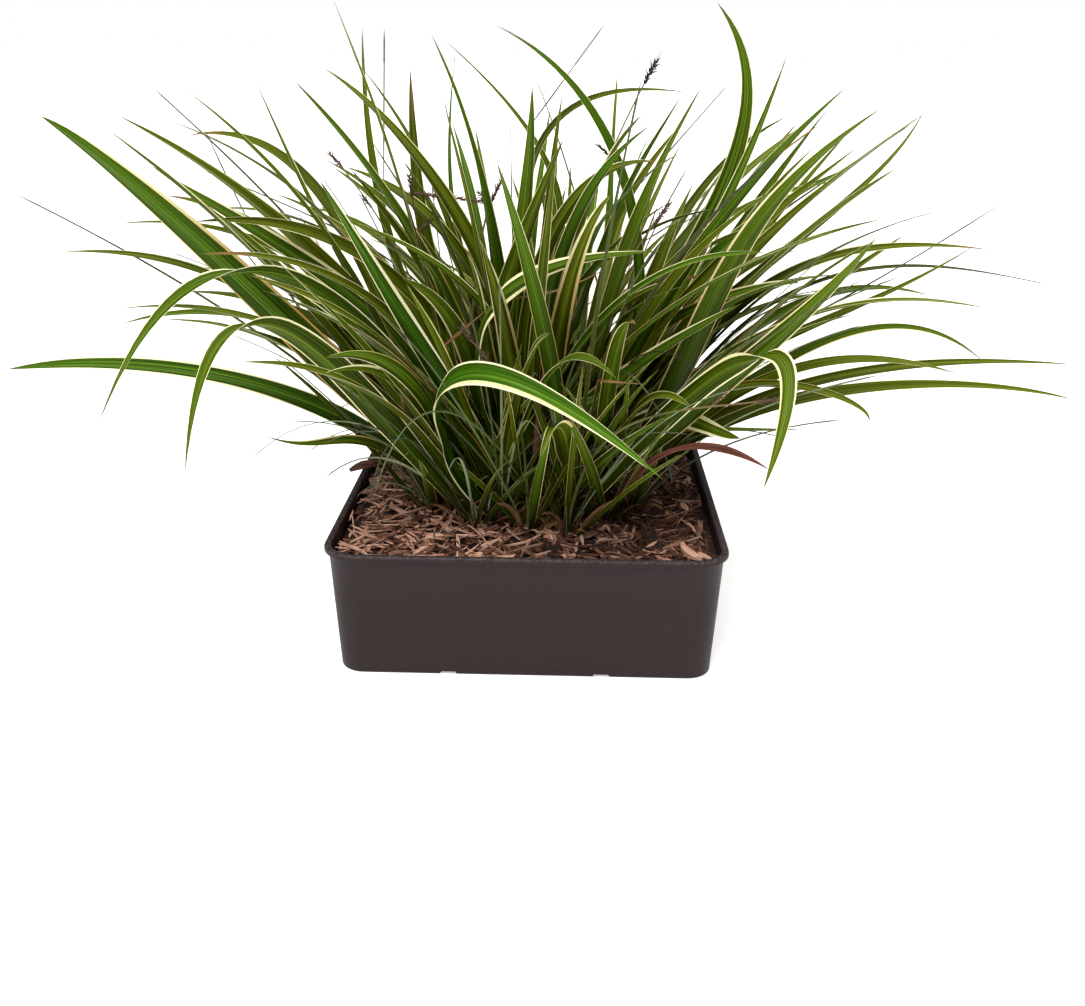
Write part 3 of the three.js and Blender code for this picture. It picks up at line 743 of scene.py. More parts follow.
def make_young_blades(material):
    """Short broad blades that crowd the foot of every stem and close the clump from below."""
    draw = seeded_random(SEEDS["young blades"])
    bm = leaf_mesh()
    for site in range(SITES):
        edge = site_place(site)[2] / CLUMP_RADIUS
        for k in range(YOUNG_BLADES):
            plan = {
                "site": site,
                "root_z": between(draw, 40, 46),
                "width": between(draw, 2.6, 6.2),
                "heading": 360 / YOUNG_BLADES * k + SITE_TURN * site + between(draw, -30, 30),
                "length": between(draw, 38, 105),
                "lean": 6 + 20 * edge + between(draw, -3, 16),
                "mid_lean": between(draw, 0, 12),
                "tip_lean": between(draw, 0, 22),
                "roll": between(draw, -60, 60),
                "twist": between(draw, -40, 40),
            }
            leaf = bent_leaf(plan)
            traits = (between(draw, 0.2, 0.9), 0.08, 0.1, between(draw, 0, 0.06), between(draw, 0.6, 1))
            add_blade(bm, leaf, traits, YOUNG_ALONG, YOUNG_ACROSS)
    finish_piece(bm, "young_blades", material)


def make_old_sheaths(material):
    """Frayed brown remains of old leaves round the foot of every stem."""
    draw = seeded_random(SEEDS["old sheaths"])
    bm = leaf_mesh()
    for site in range(SITES):
        x, y, _ = site_place(site)
        for k in range(OLD_SHEATHS):
            heading = 360 / OLD_SHEATHS * k + between(draw, -25, 25)
            length = between(draw, 12, 34)
            lean = between(draw, 6, 34)
            foot = Vector((x, y, between(draw, 38, 44))) + direction(90, heading) * SHEATH_RING
            knee = foot + direction(lean, heading) * (0.4 * length)
            bend = knee + direction(lean + between(draw, 0, 40), heading) * (0.35 * length)
            outward = direction(lean + between(draw, 20, 110), heading + between(draw, -40, 40))
            points = [foot, knee, bend, bend + outward * (0.3 * length)]
            width = between(draw, 1.0, 3.4)
            leaf = Leaf(points, width, between(draw, -40, 40), between(draw, -160, 160))
            add_blade(bm, leaf, (draw(), draw(), 0, 1, 0), FINE_ALONG, FINE_ACROSS)
    finish_piece(bm, "old_sheaths", material)


def make_withered_leaf(index, row, material):
    site, width, bend, tip_at = row
    x, y, _ = site_place(site)
    tip = Vector(tip_at)
    knee = Vector((x + 0.15 * (tip.x - x), y + 0.15 * (tip.y - y), DEAD_KNEE))
    points = [Vector((x, y, MULCH_TOP)), knee, Vector(bend), tip]
    leaf = Leaf(points, WITHERED_WIDENING * width, roll=25, twist=70)
    leaf.bluntness = WITHERED_BLUNTNESS
    foot = Leaf([Vector((x, y, height)) for height in (26, 36, 46, 56)], 3.2)
    traits = (0.3 * index, 0.5, 0, 1, 0)
    bm = leaf_mesh()
    add_blade(bm, leaf, traits, wobble=1.2)
    add_blade(bm, foot, traits, FINE_ALONG, BLADE_ACROSS)
    number = index + 1
    finish_piece(bm, f"dry_leaf_{number}", material, [f"withered_leaf_{number}"])


def make_dry_straws(material):
    """Broken dry leaves and straws that are caught between the living leaves."""
    bm = leaf_mesh()
    for points, width, tone in DRY_STRAWS:
        add_blade(bm, strand(points, width), (tone, 0.5, 0, 1, 0), FINE_ALONG, FINE_ACROSS)
    finish_piece(bm, "dry_straws", material)


# ---- flower stalks ---------------------------------------------------------------------------


def stem_mesh():
    """An empty mesh whose corners tell the stalk, the scales and the anthers apart."""
    bm = bmesh.new()
    bm.verts.layers.float.new("stem_place")
    return bm


def add_stalk(bm, curve, radius, tip_radius, sides=9, steps=30):
    """A thin three-sided stalk along a leaf's line, with rounded corners."""
    grid = bmesh.ops.create_grid(bm, x_segments=sides, y_segments=steps, size=1)["verts"]
    stem_layer = bm.verts.layers.float["stem_place"]
    for vert in grid:
        t = (vert.co.y + 1) / 2
        angle = pi * (vert.co.x + 1)
        along = curve.along(t)
        across = along.cross(Vector((0, 1, 0.1))).normalized()
        face = along.cross(across)
        size = (radius + (tip_radius - radius) * t) * (0.82 + 0.18 * cos(3 * angle))
        if t in (0, 1):
            size = 0
        vert[stem_layer] = t
        vert.co = curve.at(t) + across * (size * cos(angle)) + face * (size * sin(angle))
    bmesh.ops.remove_doubles(bm, verts=grid, dist=MERGE)


def add_spike(bm, start, towards, length, scales, draw, young=False):
    """A flower spike: pointed scales in a spiral, and a few thread-like anthers that stand out.

    A young spike is slimmer, and brown where a ripe one is nearly black.
    """
    stem_layer = bm.verts.layers.float["stem_place"]
    turn = Vector((0, 0, 1)).rotation_difference(towards.normalized()).to_matrix().to_4x4()
    place = Matrix.Translation(start) @ turn
    for vert in add_cone(bm, 8, 0.5, 0.15, length, place):
        vert[stem_layer] = 1.2 if young else 2.3
    for k in range(scales):
        share = (k + 0.5) / scales
        bulge = (0.25 if young else 0.4) * (1 + 1.2 * sin(pi * (0.12 + 0.8 * share)))
        heading = spin(SITE_TURN * k)
        lean = spin(between(draw, 8, 52), "Y")
        out = Matrix.Translation((0.75 * bulge, 0, share * length))
        thread = draw() < 0.2
        size = between(draw, 2.0, 3.2) if thread else between(draw, 1.8, 3.2)
        flat = Matrix.Diagonal((0.5, 1, 1, 1))
        radius = 0.16 if thread else 0.65 * bulge + 0.22
        for vert in add_cone(bm, 4, radius, 0.02, size, place @ heading @ out @ lean @ flat):
            tone = 3 + draw() if thread else 2 + 0.9 * draw()
            vert[stem_layer] = 1.15 + 0.2 * tone if young else tone


def make_sedge_flower(index, row, material):
    site, bend, tip_at, branch_at, branch_heading = row
    x, y, _ = site_place(site)
    draw = seeded_random(SEEDS["flowers"] + FLOWER_SEED_STEP * index)
    curve = Leaf([Vector((x, y, STALK_FOOT)), Vector((x, y, STALK_KNEE)), Vector(bend), Vector(tip_at)], 1)
    bm = stem_mesh()
    add_stalk(bm, curve, STALK_RADIUS, STALK_TIP_RADIUS)
    young = index != RIPE_STALK
    add_spike(bm, curve.at(SPIKE_START), curve.along(SPIKE_AIM), SPIKE_LENGTH, SCALES, draw, young)
    sideways = direction(SIDE_SPIKE_LEAN, branch_heading)
    add_spike(bm, curve.at(branch_at), sideways, SIDE_SPIKE_LENGTH, SCALES // 2, draw, young=True)
    number = index + 1
    finish_piece(bm, f"sedge_flower_{number}", material, [f"flower_stalk_{number}"])


def make_leaning_flower(material):
    """One more flower stalk, which leans through the clump, with spikes that spread from its top."""
    draw = seeded_random(SEEDS["leaning flower"])
    bm = stem_mesh()
    curve = Leaf([Vector(point) for point in LEANING_STALK], 1)
    add_stalk(bm, curve, LEANING_RADIUS, LEANING_TIP_RADIUS)
    for start, lean, heading, length in LEANING_SPIKES:
        scales = round(SCALES_PER_MM * length)
        add_spike(bm, Vector(start), direction(lean, heading), length, scales, draw, young=True)
    finish_piece(bm, "leaning_flower", material)


# ---- pot -------------------------------------------------------------------------------------


def body_half(z):
    lip_half = POT_WIDTH / 2 - LIP_REACH
    return FOOT_WIDTH / 2 + (lip_half - FOOT_WIDTH / 2) * z / (POT_HEIGHT - LIP_HEIGHT)


def quarter(half, z, radius, start, steps=4):
    """Levels round a small quarter turn: its centre, radius and first angle in degrees."""
    angles = [radians(start + 90 * step / steps) for step in range(steps + 1)]
    return [(half + radius * cos(angle), z + radius * sin(angle)) for angle in angles]


def pot_levels():
    """(half width, height) of each level: up the outside, over the lip and down the inside."""
    lip = POT_WIDTH / 2
    under = POT_HEIGHT - LIP_HEIGHT
    inner = body_half(POT_HEIGHT) - POT_WALL
    levels = quarter(body_half(0) - POT_EDGE, POT_EDGE, POT_EDGE, -90)
    levels += [(body_half(under / 3), under / 3), (body_half(2 * under / 3), 2 * under / 3)]
    levels += [(body_half(under - 0.5), under - 0.5), (body_half(under) + 0.3, under)]
    levels += quarter(lip - POT_EDGE / 2, under + POT_EDGE / 2, POT_EDGE / 2, -90)
    levels += quarter(lip - POT_EDGE, POT_HEIGHT - POT_EDGE, POT_EDGE, 0)
    levels += quarter(inner + POT_EDGE, POT_HEIGHT - POT_EDGE, POT_EDGE, 90)
    levels += [(body_half(20) - POT_WALL, 20), (body_half(POT_FLOOR + 1) - POT_WALL, POT_FLOOR + 1)]
    levels += [(body_half(POT_FLOOR) - POT_WALL - 1, POT_FLOOR)]
    return levels


def pot_shell():
    """Extrudes a rounded square from level to level and closes it at the floor."""
    centre = POT_WIDTH / 2 - POT_CORNER  # of every rounded corner, at all levels
    levels = pot_levels()
    half = levels[0][0]
    bm = bmesh.new()
    bmesh.ops.create_circle(bm, cap_ends=True, segments=4, radius=half * sqrt(2), matrix=spin(45))
    bmesh.ops.bevel(
        bm, geom=bm.verts, affect="VERTICES", offset=half - centre, segments=12, profile=0.5, material=-1
    )
    loop = list(bm.edges)
    for half, z in levels[1:]:
        extruded = bmesh.ops.extrude_edge_only(bm, edges=loop)["geom"]
        loop = [item for item in extruded if isinstance(item, bmesh.types.BMEdge)]
        loop = [edge for edge in loop if edge.is_boundary]
        for vert in (item for item in extruded if isinstance(item, bmesh.types.BMVert)):
            corner = Vector((math.copysign(centre, vert.co.x), math.copysign(centre, vert.co.y)))
            outward = (vert.co.xy - corner).normalized()
            spot = corner + outward * (half - centre)
            vert.co = Vector((spot.x, spot.y, z))
    bmesh.ops.contextual_create(bm, geom=loop)
    return bm


def drainage():
    """Round holes in the floor, each with a groove that lets the water out under the foot."""
    bm = bmesh.new()
    for k in range(DRAIN_HOLES):
        turn = spin(360 / DRAIN_HOLES * (k + 0.5))
        hole = turn @ Matrix.Translation((DRAIN_RING, 0, -2 * POT_FLOOR))
        add_cone(bm, 24, DRAIN_RADIUS, DRAIN_RADIUS, 4 * POT_FLOOR, hole)
        size = Matrix.Diagonal((POT_WIDTH / 2, GROOVE_WIDTH, 2 * GROOVE_DEPTH, 1))
        spot = Matrix.Translation((POT_WIDTH / 4 + DRAIN_RING, 0, 0))
        bmesh.ops.create_cube(bm, size=1, matrix=turn @ spot @ size)
    bmesh.ops.scale(bm, vec=(MM, MM, MM), verts=bm.verts)
    return placed_object("drainage", finished_mesh(bm, "drainage"))


def make_pot(material):
    pot = finish_piece(pot_shell(), "nursery_pot", material, ["pot"], POT_SHARP)
    cutter = drainage()
    cut = pot.modifiers.new("drainage", "BOOLEAN")
    cut.object = cutter
    cut.solver = "EXACT"
    cut.use_self = True
    graph = bpy.context.evaluated_depsgraph_get()
    pot.data = bpy.data.meshes.new_from_object(pot.evaluated_get(graph))
    pot.modifiers.clear()
    bpy.data.objects.remove(cutter)
    pot.data.set_sharp_from_angle(angle=radians(POT_SHARP))


# ---- mulch -----------------------------------------------------------------------------------


def add_shred(bm, size, place, tone, draw):
    """One torn shred of bark: a bar with ragged ends, bent a little."""
    length, width, thickness = size
    first = len(bm.verts)
    bmesh.ops.create_cube(bm, size=1)
    bm.edges.ensure_lookup_table()
    long_edges = [edge for edge in bm.edges[-12:] if abs(edge.verts[0].co.x - edge.verts[1].co.x) > 0.5]
    bmesh.ops.subdivide_edges(bm, edges=long_edges, cuts=SHRED_CUTS, use_grid_fill=True)
    bm.verts.ensure_lookup_table()
    verts = bm.verts[first:]
    grain_layer = bm.verts.layers.float_vector["grain"]
    tone_layer = bm.verts.layers.float["shred_tone_and_light"]
    bow = between(draw, -0.08, 0.08) * length
    sway = between(draw, -0.06, 0.06) * length
    shift = Vector((draw(), draw(), draw())) * 90
    for vert in verts:
        along = 2 * vert.co.x
        narrow = 1 - 0.65 * abs(along) ** between(draw, 1.6, 3.2)
        vert.co.x = vert.co.x * length + between(draw, -0.05, 0.05) * length
        vert.co.y = vert.co.y * width * narrow + sway * along * along + between(draw, -0.1, 0.1) * width
        vert.co.z = vert.co.z * thickness * (0.5 + 0.5 * narrow) + bow * along * along
        vert[grain_layer] = vert.co + shift
        vert[tone_layer] = tone
        vert.co = place @ vert.co


def shred_mesh():
    bm = bmesh.new()
    bm.verts.layers.float_vector.new("grain")
    bm.verts.layers.float.new("shred_tone_and_light")
    return bm


def add_drawn_shred(bm, room, draw):
    """One shred at a drawn place, heaped a little higher towards the left, and paler there by painted
    light.
    """
    coarse = draw() < COARSE_CHANCE
    limits = COARSE_SHRED if coarse else FINE_SHRED
    length, width, thickness = (between(draw, low, high) for low, high in limits)
    heading = between(draw, 0, 360)
    limit_x = room - 0.5 * length * abs(cos(radians(heading))) - 1
    limit_y = room - 0.5 * length * abs(sin(radians(heading))) - 1
    x = between(draw, -limit_x, limit_x)
    y = between(draw, -limit_y, limit_y)
    heap = HEAP_HEIGHT * noise.noise(Vector((x, y, 3)) / HEAP_WIDTH) - HEAP_SLOPE * x
    z = MULCH_TOP + heap + between(draw, -0.5, 2.5 if coarse else 3.6)
    tilt = spin(between(draw, -26, 26), "Y")
    lean = spin(between(draw, -35, 35), "X")
    # The tone is drawn at random, plus painted light that makes the shreds paler towards the left and
    # darker towards the right.
    tone = draw() - 0.3 * x / room
    past_x = max(0, abs(x) - limit_x + BED_CORNER)
    past_y = max(0, abs(y) - limit_y + BED_CORNER)
    if math.hypot(past_x, past_y) < BED_CORNER:
        place = Matrix.Translation((x, y, z)) @ spin(heading) @ tilt @ lean
        add_shred(bm, (length, width, thickness), place, tone, draw)


def make_shreds(material):
    """Shredded bark heaped over the bed, made in batches, because a small mesh is quick to edit."""
    draw = seeded_random(SEEDS["bark"])
    whole = shred_mesh()
    room = body_half(MULCH_TOP) - POT_WALL
    for _ in range(SHREDS // SHRED_BATCH):
        batch = shred_mesh()
        for _ in range(SHRED_BATCH):
            add_drawn_shred(batch, room, draw)
        join(whole, batch)
    for spot, heading, slope, size, tone in NOTED_CHIPS:
        place = Matrix.Translation(spot) @ (spin(heading) @ spin(slope, "Y"))
        add_shred(whole, size, place, tone, draw)
    finish_piece(whole, "bark_shreds", material, sharp=35)


def join(whole, part):
    """Moves one mesh that is being made into another."""
    mesh = finished_mesh(part, "part")
    whole.from_mesh(mesh)
    bpy.data.meshes.remove(mesh)


# ---- materials -------------------------------------------------------------------------------


def linear(hex_colour):
    """An sRGB hex colour as linear red, green, blue and alpha."""
    channels = [int(hex_colour[k : k + 2], 16) / 255 for k in (1, 3, 5)]
    return tuple(c / 12.92 if c <= 0.04045 else ((c + 0.055) / 1.055) ** 2.4 for c in channels) + (1.0,)


def add_node(tree, kind, *inputs, ramp=None, **settings):
    """Adds a node with its settings. Its inputs come in their order or, in one dictionary, by name.

    An input is a plain value, a hex colour, a socket, or a node, which stands for its first output.
    """
    node = tree.nodes.new("ShaderNode" + kind)
    for name, value in settings.items():
        setattr(node, name, value)
    sockets = [socket for socket in node.inputs if socket.enabled]
    pairs = zip(sockets, inputs)
    if inputs and isinstance(inputs[0], dict):
        by_name = {socket.name: socket for socket in sockets}
        pairs = [(by_name[name], value) for name, value in inputs[0].items()]
    for socket, value in pairs:
        if isinstance(value, bpy.types.Node):
            value = next(output for output in value.outputs if output.enabled)
        if isinstance(value, bpy.types.NodeSocket):
            tree.links.new(value, socket)
        else:
            socket.default_value = linear(value) if isinstance(value, str) else value
    if ramp:
        elements = node.color_ramp.elements
        while len(elements) < len(ramp):
            elements.new(0.5)
        for element, (position, colour) in zip(elements, ramp):
            element.position = position
            element.color = linear(colour)
    return node


def new_material(name):
    """A material that has no nodes yet, and the function that adds them to it."""
    material = bpy.data.materials.new(name)
    material.use_nodes = True
    material.node_tree.nodes.clear()
    return material, partial(add_node, material.node_tree)


def leaf_values(add):
    """What the corners of a leaf carry: their place on it and the leaf's traits."""
    place = add("Attribute", attribute_name="leaf_place").outputs
    traits = add("Attribute", attribute_name="leaf_traits").outputs
    leaf = SimpleNamespace(place=place["Vector"], warmth=place["Alpha"], dryness=traits["Alpha"])
    leaf.u, leaf.v, leaf.width = add("SeparateXYZ", place["Vector"]).outputs
    leaf.tone, leaf.left, leaf.right = add("SeparateXYZ", traits["Vector"]).outputs
    return leaf


def cream_margin(add, leaf, across, streak):
    """Where a leaf's green ends, and how far a spot lies in the cream beyond it.

    A margin is narrow at the foot of its leaf and again at the tip. Its inner edge is nearly straight.
    """
    on_right = add("Math", leaf.u, 0.5, operation="GREATER_THAN")
    margin = add("Mix", on_right, leaf.left, leaf.right, data_type="FLOAT")
    spread = add("MapRange", leaf.v, 0.25, 0.65, 0.2, 1.0, interpolation_type="SMOOTHSTEP")
    margin = add("Math", margin, spread, operation="MULTIPLY")
    narrowing = add("MapRange", leaf.v, 0.82, 0.98, 1.0, 0.3)
    margin = add("Math", margin, narrowing, operation="MULTIPLY")
    margin = add("Math", margin, 0.075, operation="MAXIMUM")
    inner = add("Math", 1.0, margin, operation="SUBTRACT")
    ragged = add("Math", streak, 0.12, across, operation="MULTIPLY_ADD")
    start = add("Math", inner, -0.03, operation="ADD")
    end = add("Math", inner, 0.03, operation="ADD")
    return inner, add("MapRange", ragged, start, end, interpolation_type="SMOOTHSTEP")


def leaf_green(add, leaf, across, inner, veins, streak):
    """Green with a brighter band along the middle, and olive on old leaves. Painted shade darkens it
    towards the foot, and painted light brightens it towards the tip.
    """
    band = add("MapRange", across, inner, 0.0, -0.06, 0.07, interpolation_type="SMOOTHSTEP")
    light = add("Math", streak, 0.49, operation="ADD")
    light = add("Math", veins, 0.03, light, operation="MULTIPLY_ADD")
    light = add("Math", light, band, operation="ADD")
    # Painted shade and light along the leaf: darker towards its shaded foot, lighter towards its tip.
    rise = add("MapRange", leaf.v, 0.1, 0.85, -0.14, 0.1)
    light = add("Math", light, rise, operation="ADD")
    fresh_ramp = [(0.3, "#142500"), (0.46, "#284401"), (0.62, "#3e6708"), (0.8, "#658c22")]
    olive_ramp = [(0.3, "#202600"), (0.46, "#3a4500"), (0.62, "#596408"), (0.8, "#848832")]
    fresh = add("ValToRGB", light, ramp=fresh_ramp)
    olive = add("ValToRGB", light, ramp=olive_ramp)
    older = add("MapRange", leaf.tone, 0.0, 0.6)
    green = add("Mix", older, fresh, olive, data_type="RGBA")
    midrib = add("MapRange", across, 0.06, 0.01, 0.0, 0.22)
    return add("Mix", midrib, green, "#84a04c", data_type="RGBA")


def leaf_cream(add, leaf, patches):
    """Cream, yellower in patches, that turns to amber towards the foot of a warm leaf."""
    pale = add("ValToRGB", patches, ramp=[(0.35, "#fbf6cf"), (0.55, "#f2ebae"), (0.7, "#d8d980")])
    lower = add("MapRange", leaf.v, 0.9, 0.42, interpolation_type="SMOOTHSTEP")
    warm_share = add("Math", lower, leaf.warmth, operation="MULTIPLY")
    return add("Mix", warm_share, pale, "#b08430", data_type="RGBA")


def worn_ends(add, leaf, colour, streaks, streak):
    """Turns the foot of a leaf brown, the thinnest leaves grey-green towards the tip, and dry tips tan."""
    foot = add("MapRange", leaf.v, 0.12, 0.02, interpolation_type="SMOOTHSTEP")
    straw = add("ValToRGB", streaks, ramp=[(0.35, "#20170a"), (0.52, "#433516"), (0.7, "#6e612a")])
    colour = add("Mix", foot, colour, straw, data_type="RGBA")

    thin = add("MapRange", leaf.width, 0.26, 0.2)
    outer = add("MapRange", leaf.v, 0.4, 0.75, 0.15, 0.9)
    slim = add("Math", thin, outer, operation="MULTIPLY")
    wire = add("ValToRGB", leaf.tone, ramp=[(0.0, "#66763f"), (0.55, "#505e36"), (1.0, "#43453d")])
    colour = add("Mix", slim, colour, wire, data_type="RGBA")

    living = add("Math", 1.0, leaf.dryness, operation="SUBTRACT")
    dry_at = add("Math", streak, 0.08, leaf.v, operation="MULTIPLY_ADD")
    dry_end = add("Math", living, 0.03, operation="ADD")
    dry = add("MapRange", dry_at, living, dry_end)
    husk = add("ValToRGB", streaks, ramp=[(0.35, "#5c4526"), (0.55, "#927341"), (0.7, "#b39c66")])
    return add("Mix", dry, colour, husk, data_type="RGBA")


def living_leaf():
    """Waxy living leaf tissue: dark green beside the margins and brighter along the middle, with fine
    veins, and cream margins that turn tan towards the foot. The wax gives soft highlights."""
    material, add = new_material("waxy_sedge_leaf")
    leaf = leaf_values(add)
    centred = add("Math", leaf.u, 2.0, -1.0, operation="MULTIPLY_ADD")
    across = add("Math", centred, operation="ABSOLUTE")
    # Lengthwise streaks, many times longer than they are wide, at another place for each leaf.
    own_place = add("Math", leaf.tone, 53.0, operation="MULTIPLY")
    streak_u = add("Math", leaf.u, 18.0, own_place, operation="MULTIPLY_ADD")
    streak_v = add("Math", leaf.v, 1.6, own_place, operation="MULTIPLY_ADD")
    streak_at = add("CombineXYZ", streak_u, streak_v, leaf.warmth)
    streaks = add("TexNoise", {"Vector": streak_at, "Scale": 1.0, "Detail": 4.0, "Roughness": 0.62})
    streak = add("Math", streaks, -0.5, operation="ADD")
    patches = add("TexNoise", {"Vector": streak_at, "Scale": 0.35, "Detail": 1.0})
    # Veins about 1 mm apart on a leaf 10 mm wide.
    vein_angle = add("Math", across, 30.0, operation="MULTIPLY")
    veins = add("Math", vein_angle, operation="SINE")

    inner, cream_share = cream_margin(add, leaf, across, streak)
    green = leaf_green(add, leaf, across, inner, veins, streak)
    colour = add("Mix", cream_share, green, leaf_cream(add, leaf, patches), data_type="RGBA")
    colour = worn_ends(add, leaf, colour, streaks, streak)
    height = add("Math", veins, 0.4, streaks, operation="MULTIPLY_ADD")
    bump = add("Bump", {"Height": height, "Strength": 0.3, "Distance": 0.00012})
    wax = {"Roughness": 0.45, "IOR": 1.45, "Specular IOR Level": 0.1}
    shader = add("BsdfPrincipled", {"Base Color": colour, "Normal": bump, **wax})
    add("OutputMaterial", shader)
    return material


def wiry_leaf():
    """Thin rolled young blades: grey-green to nearly black, with dry grey tips and a little wax."""
    material, add = new_material("wiry_sedge_grass")
    leaf = leaf_values(add)
    tones = [(0.0, "#2a3316"), (0.35, "#566638"), (0.7, "#8d9a72"), (1.0, "#4d4a42")]
    colour = add("ValToRGB", leaf.tone, ramp=tones)
    tip = add("MapRange", leaf.v, 0.6, 1.0, 0.0, 0.8)
    colour = add("Mix", tip, colour, "#4d4842", data_type="RGBA")
    wax = {"Roughness": 0.5, "IOR": 1.45, "Specular IOR Level": 0.3}
    shader = add("BsdfPrincipled", {"Base Color": colour, **wax})
    add("OutputMaterial", shader)
    return material


def dry_leaf():
    """Dead leaf tissue: dull red-brown to straw, streaked lengthwise, with no wax left to shine."""
    material, add = new_material("withered_sedge_leaf")
    leaf = leaf_values(add)
    stretch = add("Mapping", {"Vector": leaf.place, "Scale": (9.0, 3.0, 40.0)})
    streaks = add("TexNoise", {"Vector": stretch, "Scale": 1.0, "Detail": 4.0, "Roughness": 0.65})
    red = add("ValToRGB", streaks, ramp=[(0.3, "#371c16"), (0.5, "#683727"), (0.7, "#966047")])
    straw = add("ValToRGB", streaks, ramp=[(0.3, "#4c3520"), (0.5, "#806038"), (0.7, "#ad8f5c")])
    colour = add("Mix", leaf.tone, red, straw, data_type="RGBA")
    bump = add("Bump", {"Height": streaks, "Strength": 0.6, "Distance": 0.0002})
    shader = add("BsdfPrincipled", {"Base Color": colour, "Normal": bump, "Roughness": 0.82, "IOR": 1.4})
    add("OutputMaterial", shader)
    return material


def flower_scales():
    """Dry papery scales and anthers on a smooth green-brown stalk, all matte.

    stem_place is 0 to 1 along a stalk, 1.2 to 1.95 on young spikes, 2 to 2.9 on ripe scales and 3 to 4
    on ripe anthers.
    """
    material, add = new_material("papery_flower_scales")
    place = add("Attribute", attribute_name="stem_place").outputs["Fac"]
    share = add("Math", place, 0.25, operation="MULTIPLY")
    stalk = [(0.0, "#5d5c28"), (0.12, "#5a6128"), (0.25, "#6f5334")]
    young = [(0.49, "#4d3a31")]
    ripe = [(0.5, "#170f11"), (0.66, "#2e2122"), (0.74, "#4d3b37")]
    anthers = [(0.76, "#7a6a5a"), (1.0, "#463a36")]
    colour = add("ValToRGB", share, ramp=stalk + young + ripe + anthers)
    shader = add("BsdfPrincipled", {"Base Color": colour, "Roughness": 0.7, "IOR": 1.45})
    add("OutputMaterial", shader)
    return material


def pot_plastic():
    """Recycled polypropylene, injection moulded: matte and even warm dark grey, with a fine moulded grain,
    a few specks of dried soil and a painted highlight along the top of the lip."""
    material, add = new_material("matte_recycled_polypropylene")
    spot = add("TexCoord").outputs["Object"]
    mottle = add("TexNoise", {"Vector": spot, "Scale": 900.0, "Detail": 3.0, "Roughness": 0.6})
    colour = add("ValToRGB", mottle, ramp=[(0.3, "#231819"), (0.7, "#2b1e1f")])
    # Specks 1 to 2 mm across.
    specks = add("TexNoise", {"Vector": spot, "Scale": 700.0, "Detail": 3.0, "Roughness": 0.7})
    dust = add("MapRange", specks, 0.68, 0.8, 0.0, 0.3)
    colour = add("Mix", dust, colour, "#6d5c50", data_type="RGBA")
    # Painted highlight: the top of the lip is lightened in patches, as a light line along its edge.
    height = add("SeparateXYZ", spot).outputs["Z"]
    lip_top = POT_HEIGHT * MM
    lip = add("MapRange", height, lip_top - 0.0013, lip_top - 0.0003, 0.0, 0.6)
    highlight_patches = add("MapRange", mottle, 0.35, 0.65)
    painted_lip_highlight = add("Math", lip, highlight_patches, operation="MULTIPLY")
    colour = add("Mix", painted_lip_highlight, colour, "#5f5354", data_type="RGBA")
    # Grain about 0.5 mm across.
    grain = add("TexNoise", {"Vector": spot, "Scale": 1800.0, "Detail": 2.0})
    bump = add("Bump", {"Height": grain, "Strength": 0.25, "Distance": 0.0001})
    gloss = add("MapRange", mottle, 0.3, 0.7, 0.48, 0.58)
    finish = {"Roughness": gloss, "IOR": 1.49, "Specular IOR Level": 0.2}
    shader = add("BsdfPrincipled", {"Base Color": colour, "Normal": bump, **finish})
    add("OutputMaterial", shader)
    return material


def torn_bark():
    """Shredded bark: fibrous, pinkish tan where it is freshly torn and dark brown where it is weathered.
    The shreds' tone also carries painted light that makes them paler towards the left.
    """
    material, add = new_material("shredded_bark")
    grain = add("Attribute", attribute_name="grain").outputs["Vector"]
    tone = add("Attribute", attribute_name="shred_tone_and_light").outputs["Fac"]
    # Fibres about 0.4 mm wide and many times longer.
    stretch = add("Mapping", {"Vector": grain, "Scale": (0.14, 2.3, 2.3)})
    fibres = add("TexNoise", {"Vector": stretch, "Scale": 1.0, "Detail": 5.0, "Roughness": 0.65})
    fresh = add("ValToRGB", fibres, ramp=[(0.3, "#7a4c38"), (0.5, "#c9957a"), (0.7, "#f5d8c4")])
    weathered = add("ValToRGB", fibres, ramp=[(0.3, "#1e0f09"), (0.5, "#573425"), (0.7, "#9c6c56")])
    # Fresh or weathered by the shred's tone, which also holds the painted light towards the left.
    share = add("MapRange", tone, 0.35, 0.85, interpolation_type="SMOOTHSTEP")
    colour = add("Mix", share, weathered, fresh, data_type="RGBA")
    bump = add("Bump", {"Height": fibres, "Strength": 0.8, "Distance": 0.0005})
    shader = add("BsdfPrincipled", {"Base Color": colour, "Normal": bump, "Roughness": 0.86, "IOR": 1.4})
    add("OutputMaterial", shader)
    return material


def crumbly(name, dark, middle, light, scale):
    """Peat and fine bark: crumbly, moist and dark, with lighter crumbs. Under the shreds, the bark bed
    is dark partly as painted shade in the gaps between them.
    """
    material, add = new_material(name)
    spot = add("TexCoord").outputs["Object"]
    crumbs = add("TexNoise", {"Vector": spot, "Scale": scale, "Detail": 6.0, "Roughness": 0.7})
    colour = add("ValToRGB", crumbs, ramp=[(0.35, dark), (0.52, middle), (0.7, light)])
    bump = add("Bump", {"Height": crumbs, "Strength": 1.0, "Distance": 0.002})
    shader = add("BsdfPrincipled", {"Base Color": colour, "Normal": bump, "Roughness": 0.92, "IOR": 1.4})
    add("OutputMaterial", shader)
    return material


def studio_paper():
    """Plain white paper that glows a little, so that shadows on it stay pale."""
    material, add = new_material("white_studio_paper")
    glow = {"Emission Color": PAPER_WHITE, "Emission Strength": PAPER_GLOW}
    shader = add("BsdfPrincipled", {"Base Color": PAPER_WHITE, "Roughness": 0.9, "IOR": 1.4, **glow})
    add("OutputMaterial", shader)
    return material


# ---- studio ----------------------------------------------------------------------------------


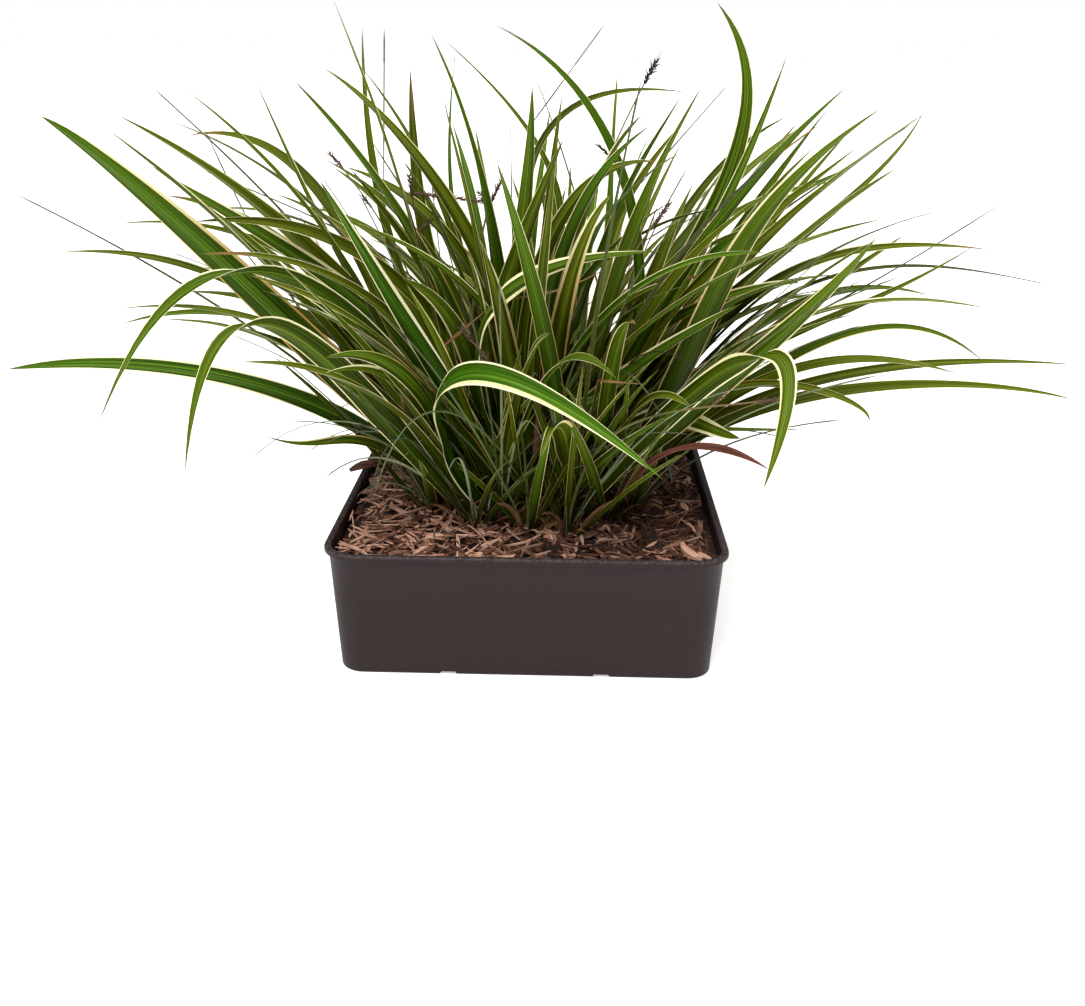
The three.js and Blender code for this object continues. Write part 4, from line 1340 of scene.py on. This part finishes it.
def make_floor():
    bm = bmesh.new()
    bmesh.ops.create_grid(bm, x_segments=1, y_segments=1, size=FLOOR_REACH)
    mesh = finished_mesh(bm, "studio_floor")
    mesh.materials.append(studio_paper())
    floor = placed_object("studio_floor", mesh)


def add_soft_sun(name, position, strength, spread):
    """An even, soft light from far away. Its rays come from a disc of sky that is spread degrees wide."""
    light = bpy.data.lights.new(name, "SUN")
    light.energy = strength
    light.angle = radians(spread)
    lamp = placed_object(name, light)
    lamp.location = position
    lamp.rotation_euler = (-Vector(position)).to_track_quat("-Z", "Y").to_euler()


def make_lights():
    """A white backdrop for the camera, weaker light from all round, and two soft lights from above."""
    world = bpy.data.worlds.new("studio")
    world.use_nodes = True
    world.node_tree.nodes.clear()
    add = partial(add_node, world.node_tree)
    backdrop = add("Background", "#ffffff", 1.0)
    room = add("Background", "#ffffff", ROOM_LIGHT)
    seen = add("MixShader", add("LightPath").outputs["Is Camera Ray"], room, backdrop)
    add("OutputWorld", seen)
    bpy.context.scene.world = world
    for name, light in SUNS.items():
        add_soft_sun(name, *light)


def make_camera():
    """The camera stands in front and a little above, and looks down at the clump."""
    lens = bpy.data.cameras.new("camera")
    lens.lens = CAMERA_LENS
    lens.sensor_width = CAMERA_SENSOR
    camera = placed_object("camera", lens)
    turn = spin(CAMERA_YAW) @ spin(90 - CAMERA_PITCH, "X") @ spin(CAMERA_ROLL)
    camera.matrix_world = Matrix.Translation(CAMERA_PLACE) @ turn
    bpy.context.scene.camera = camera


# ---- the whole plant -------------------------------------------------------------------------


def make_plant():
    leaf = living_leaf()
    stem_sites = [site for site in range(SITES) if site not in FLOWER_SITES + DEAD_SITES]
    stems = {site: f"leafy_stem_{number:02d}" for number, site in enumerate(stem_sites, start=1)}
    leaves = grown_leaves(stems)
    draw = seeded_random(SEEDS["looks"])
    for site, node in stems.items():
        make_leafy_stem(node.replace("leafy_stem", "sedge_stem"), node, site, leaves[site], draw, leaf)
    flower = flower_scales()
    for index, row in enumerate(FLOWER_STALKS):
        make_sedge_flower(index, row, flower)
    make_leaning_flower(flower)
    dry = dry_leaf()
    for index, row in enumerate(DEAD_LEAVES):
        make_withered_leaf(index, row, dry)
    make_dry_straws(dry)
    make_young_blades(leaf)
    make_wiry_grass(wiry_leaf())
    make_old_sheaths(dry)


def dress_ground():
    make_pot(pot_plastic())
    make_shreds(torn_bark())
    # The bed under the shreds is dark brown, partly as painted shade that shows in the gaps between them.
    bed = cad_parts["bark_mulch"]
    bed.data.materials.clear()
    bed.data.materials.append(crumbly("bark_bed_painted_shade", "#0e0805", "#341f15", "#6f4a36", 420.0))
    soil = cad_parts["potting_soil"]
    soil.data.materials.clear()
    soil.data.materials.append(crumbly("peat_soil", "#0f0a07", "#241812", "#46342a", 600.0))


bpy.context.scene.view_settings.view_transform = "Standard"
make_camera()
make_lights()
make_floor()
dress_ground()
make_plant()
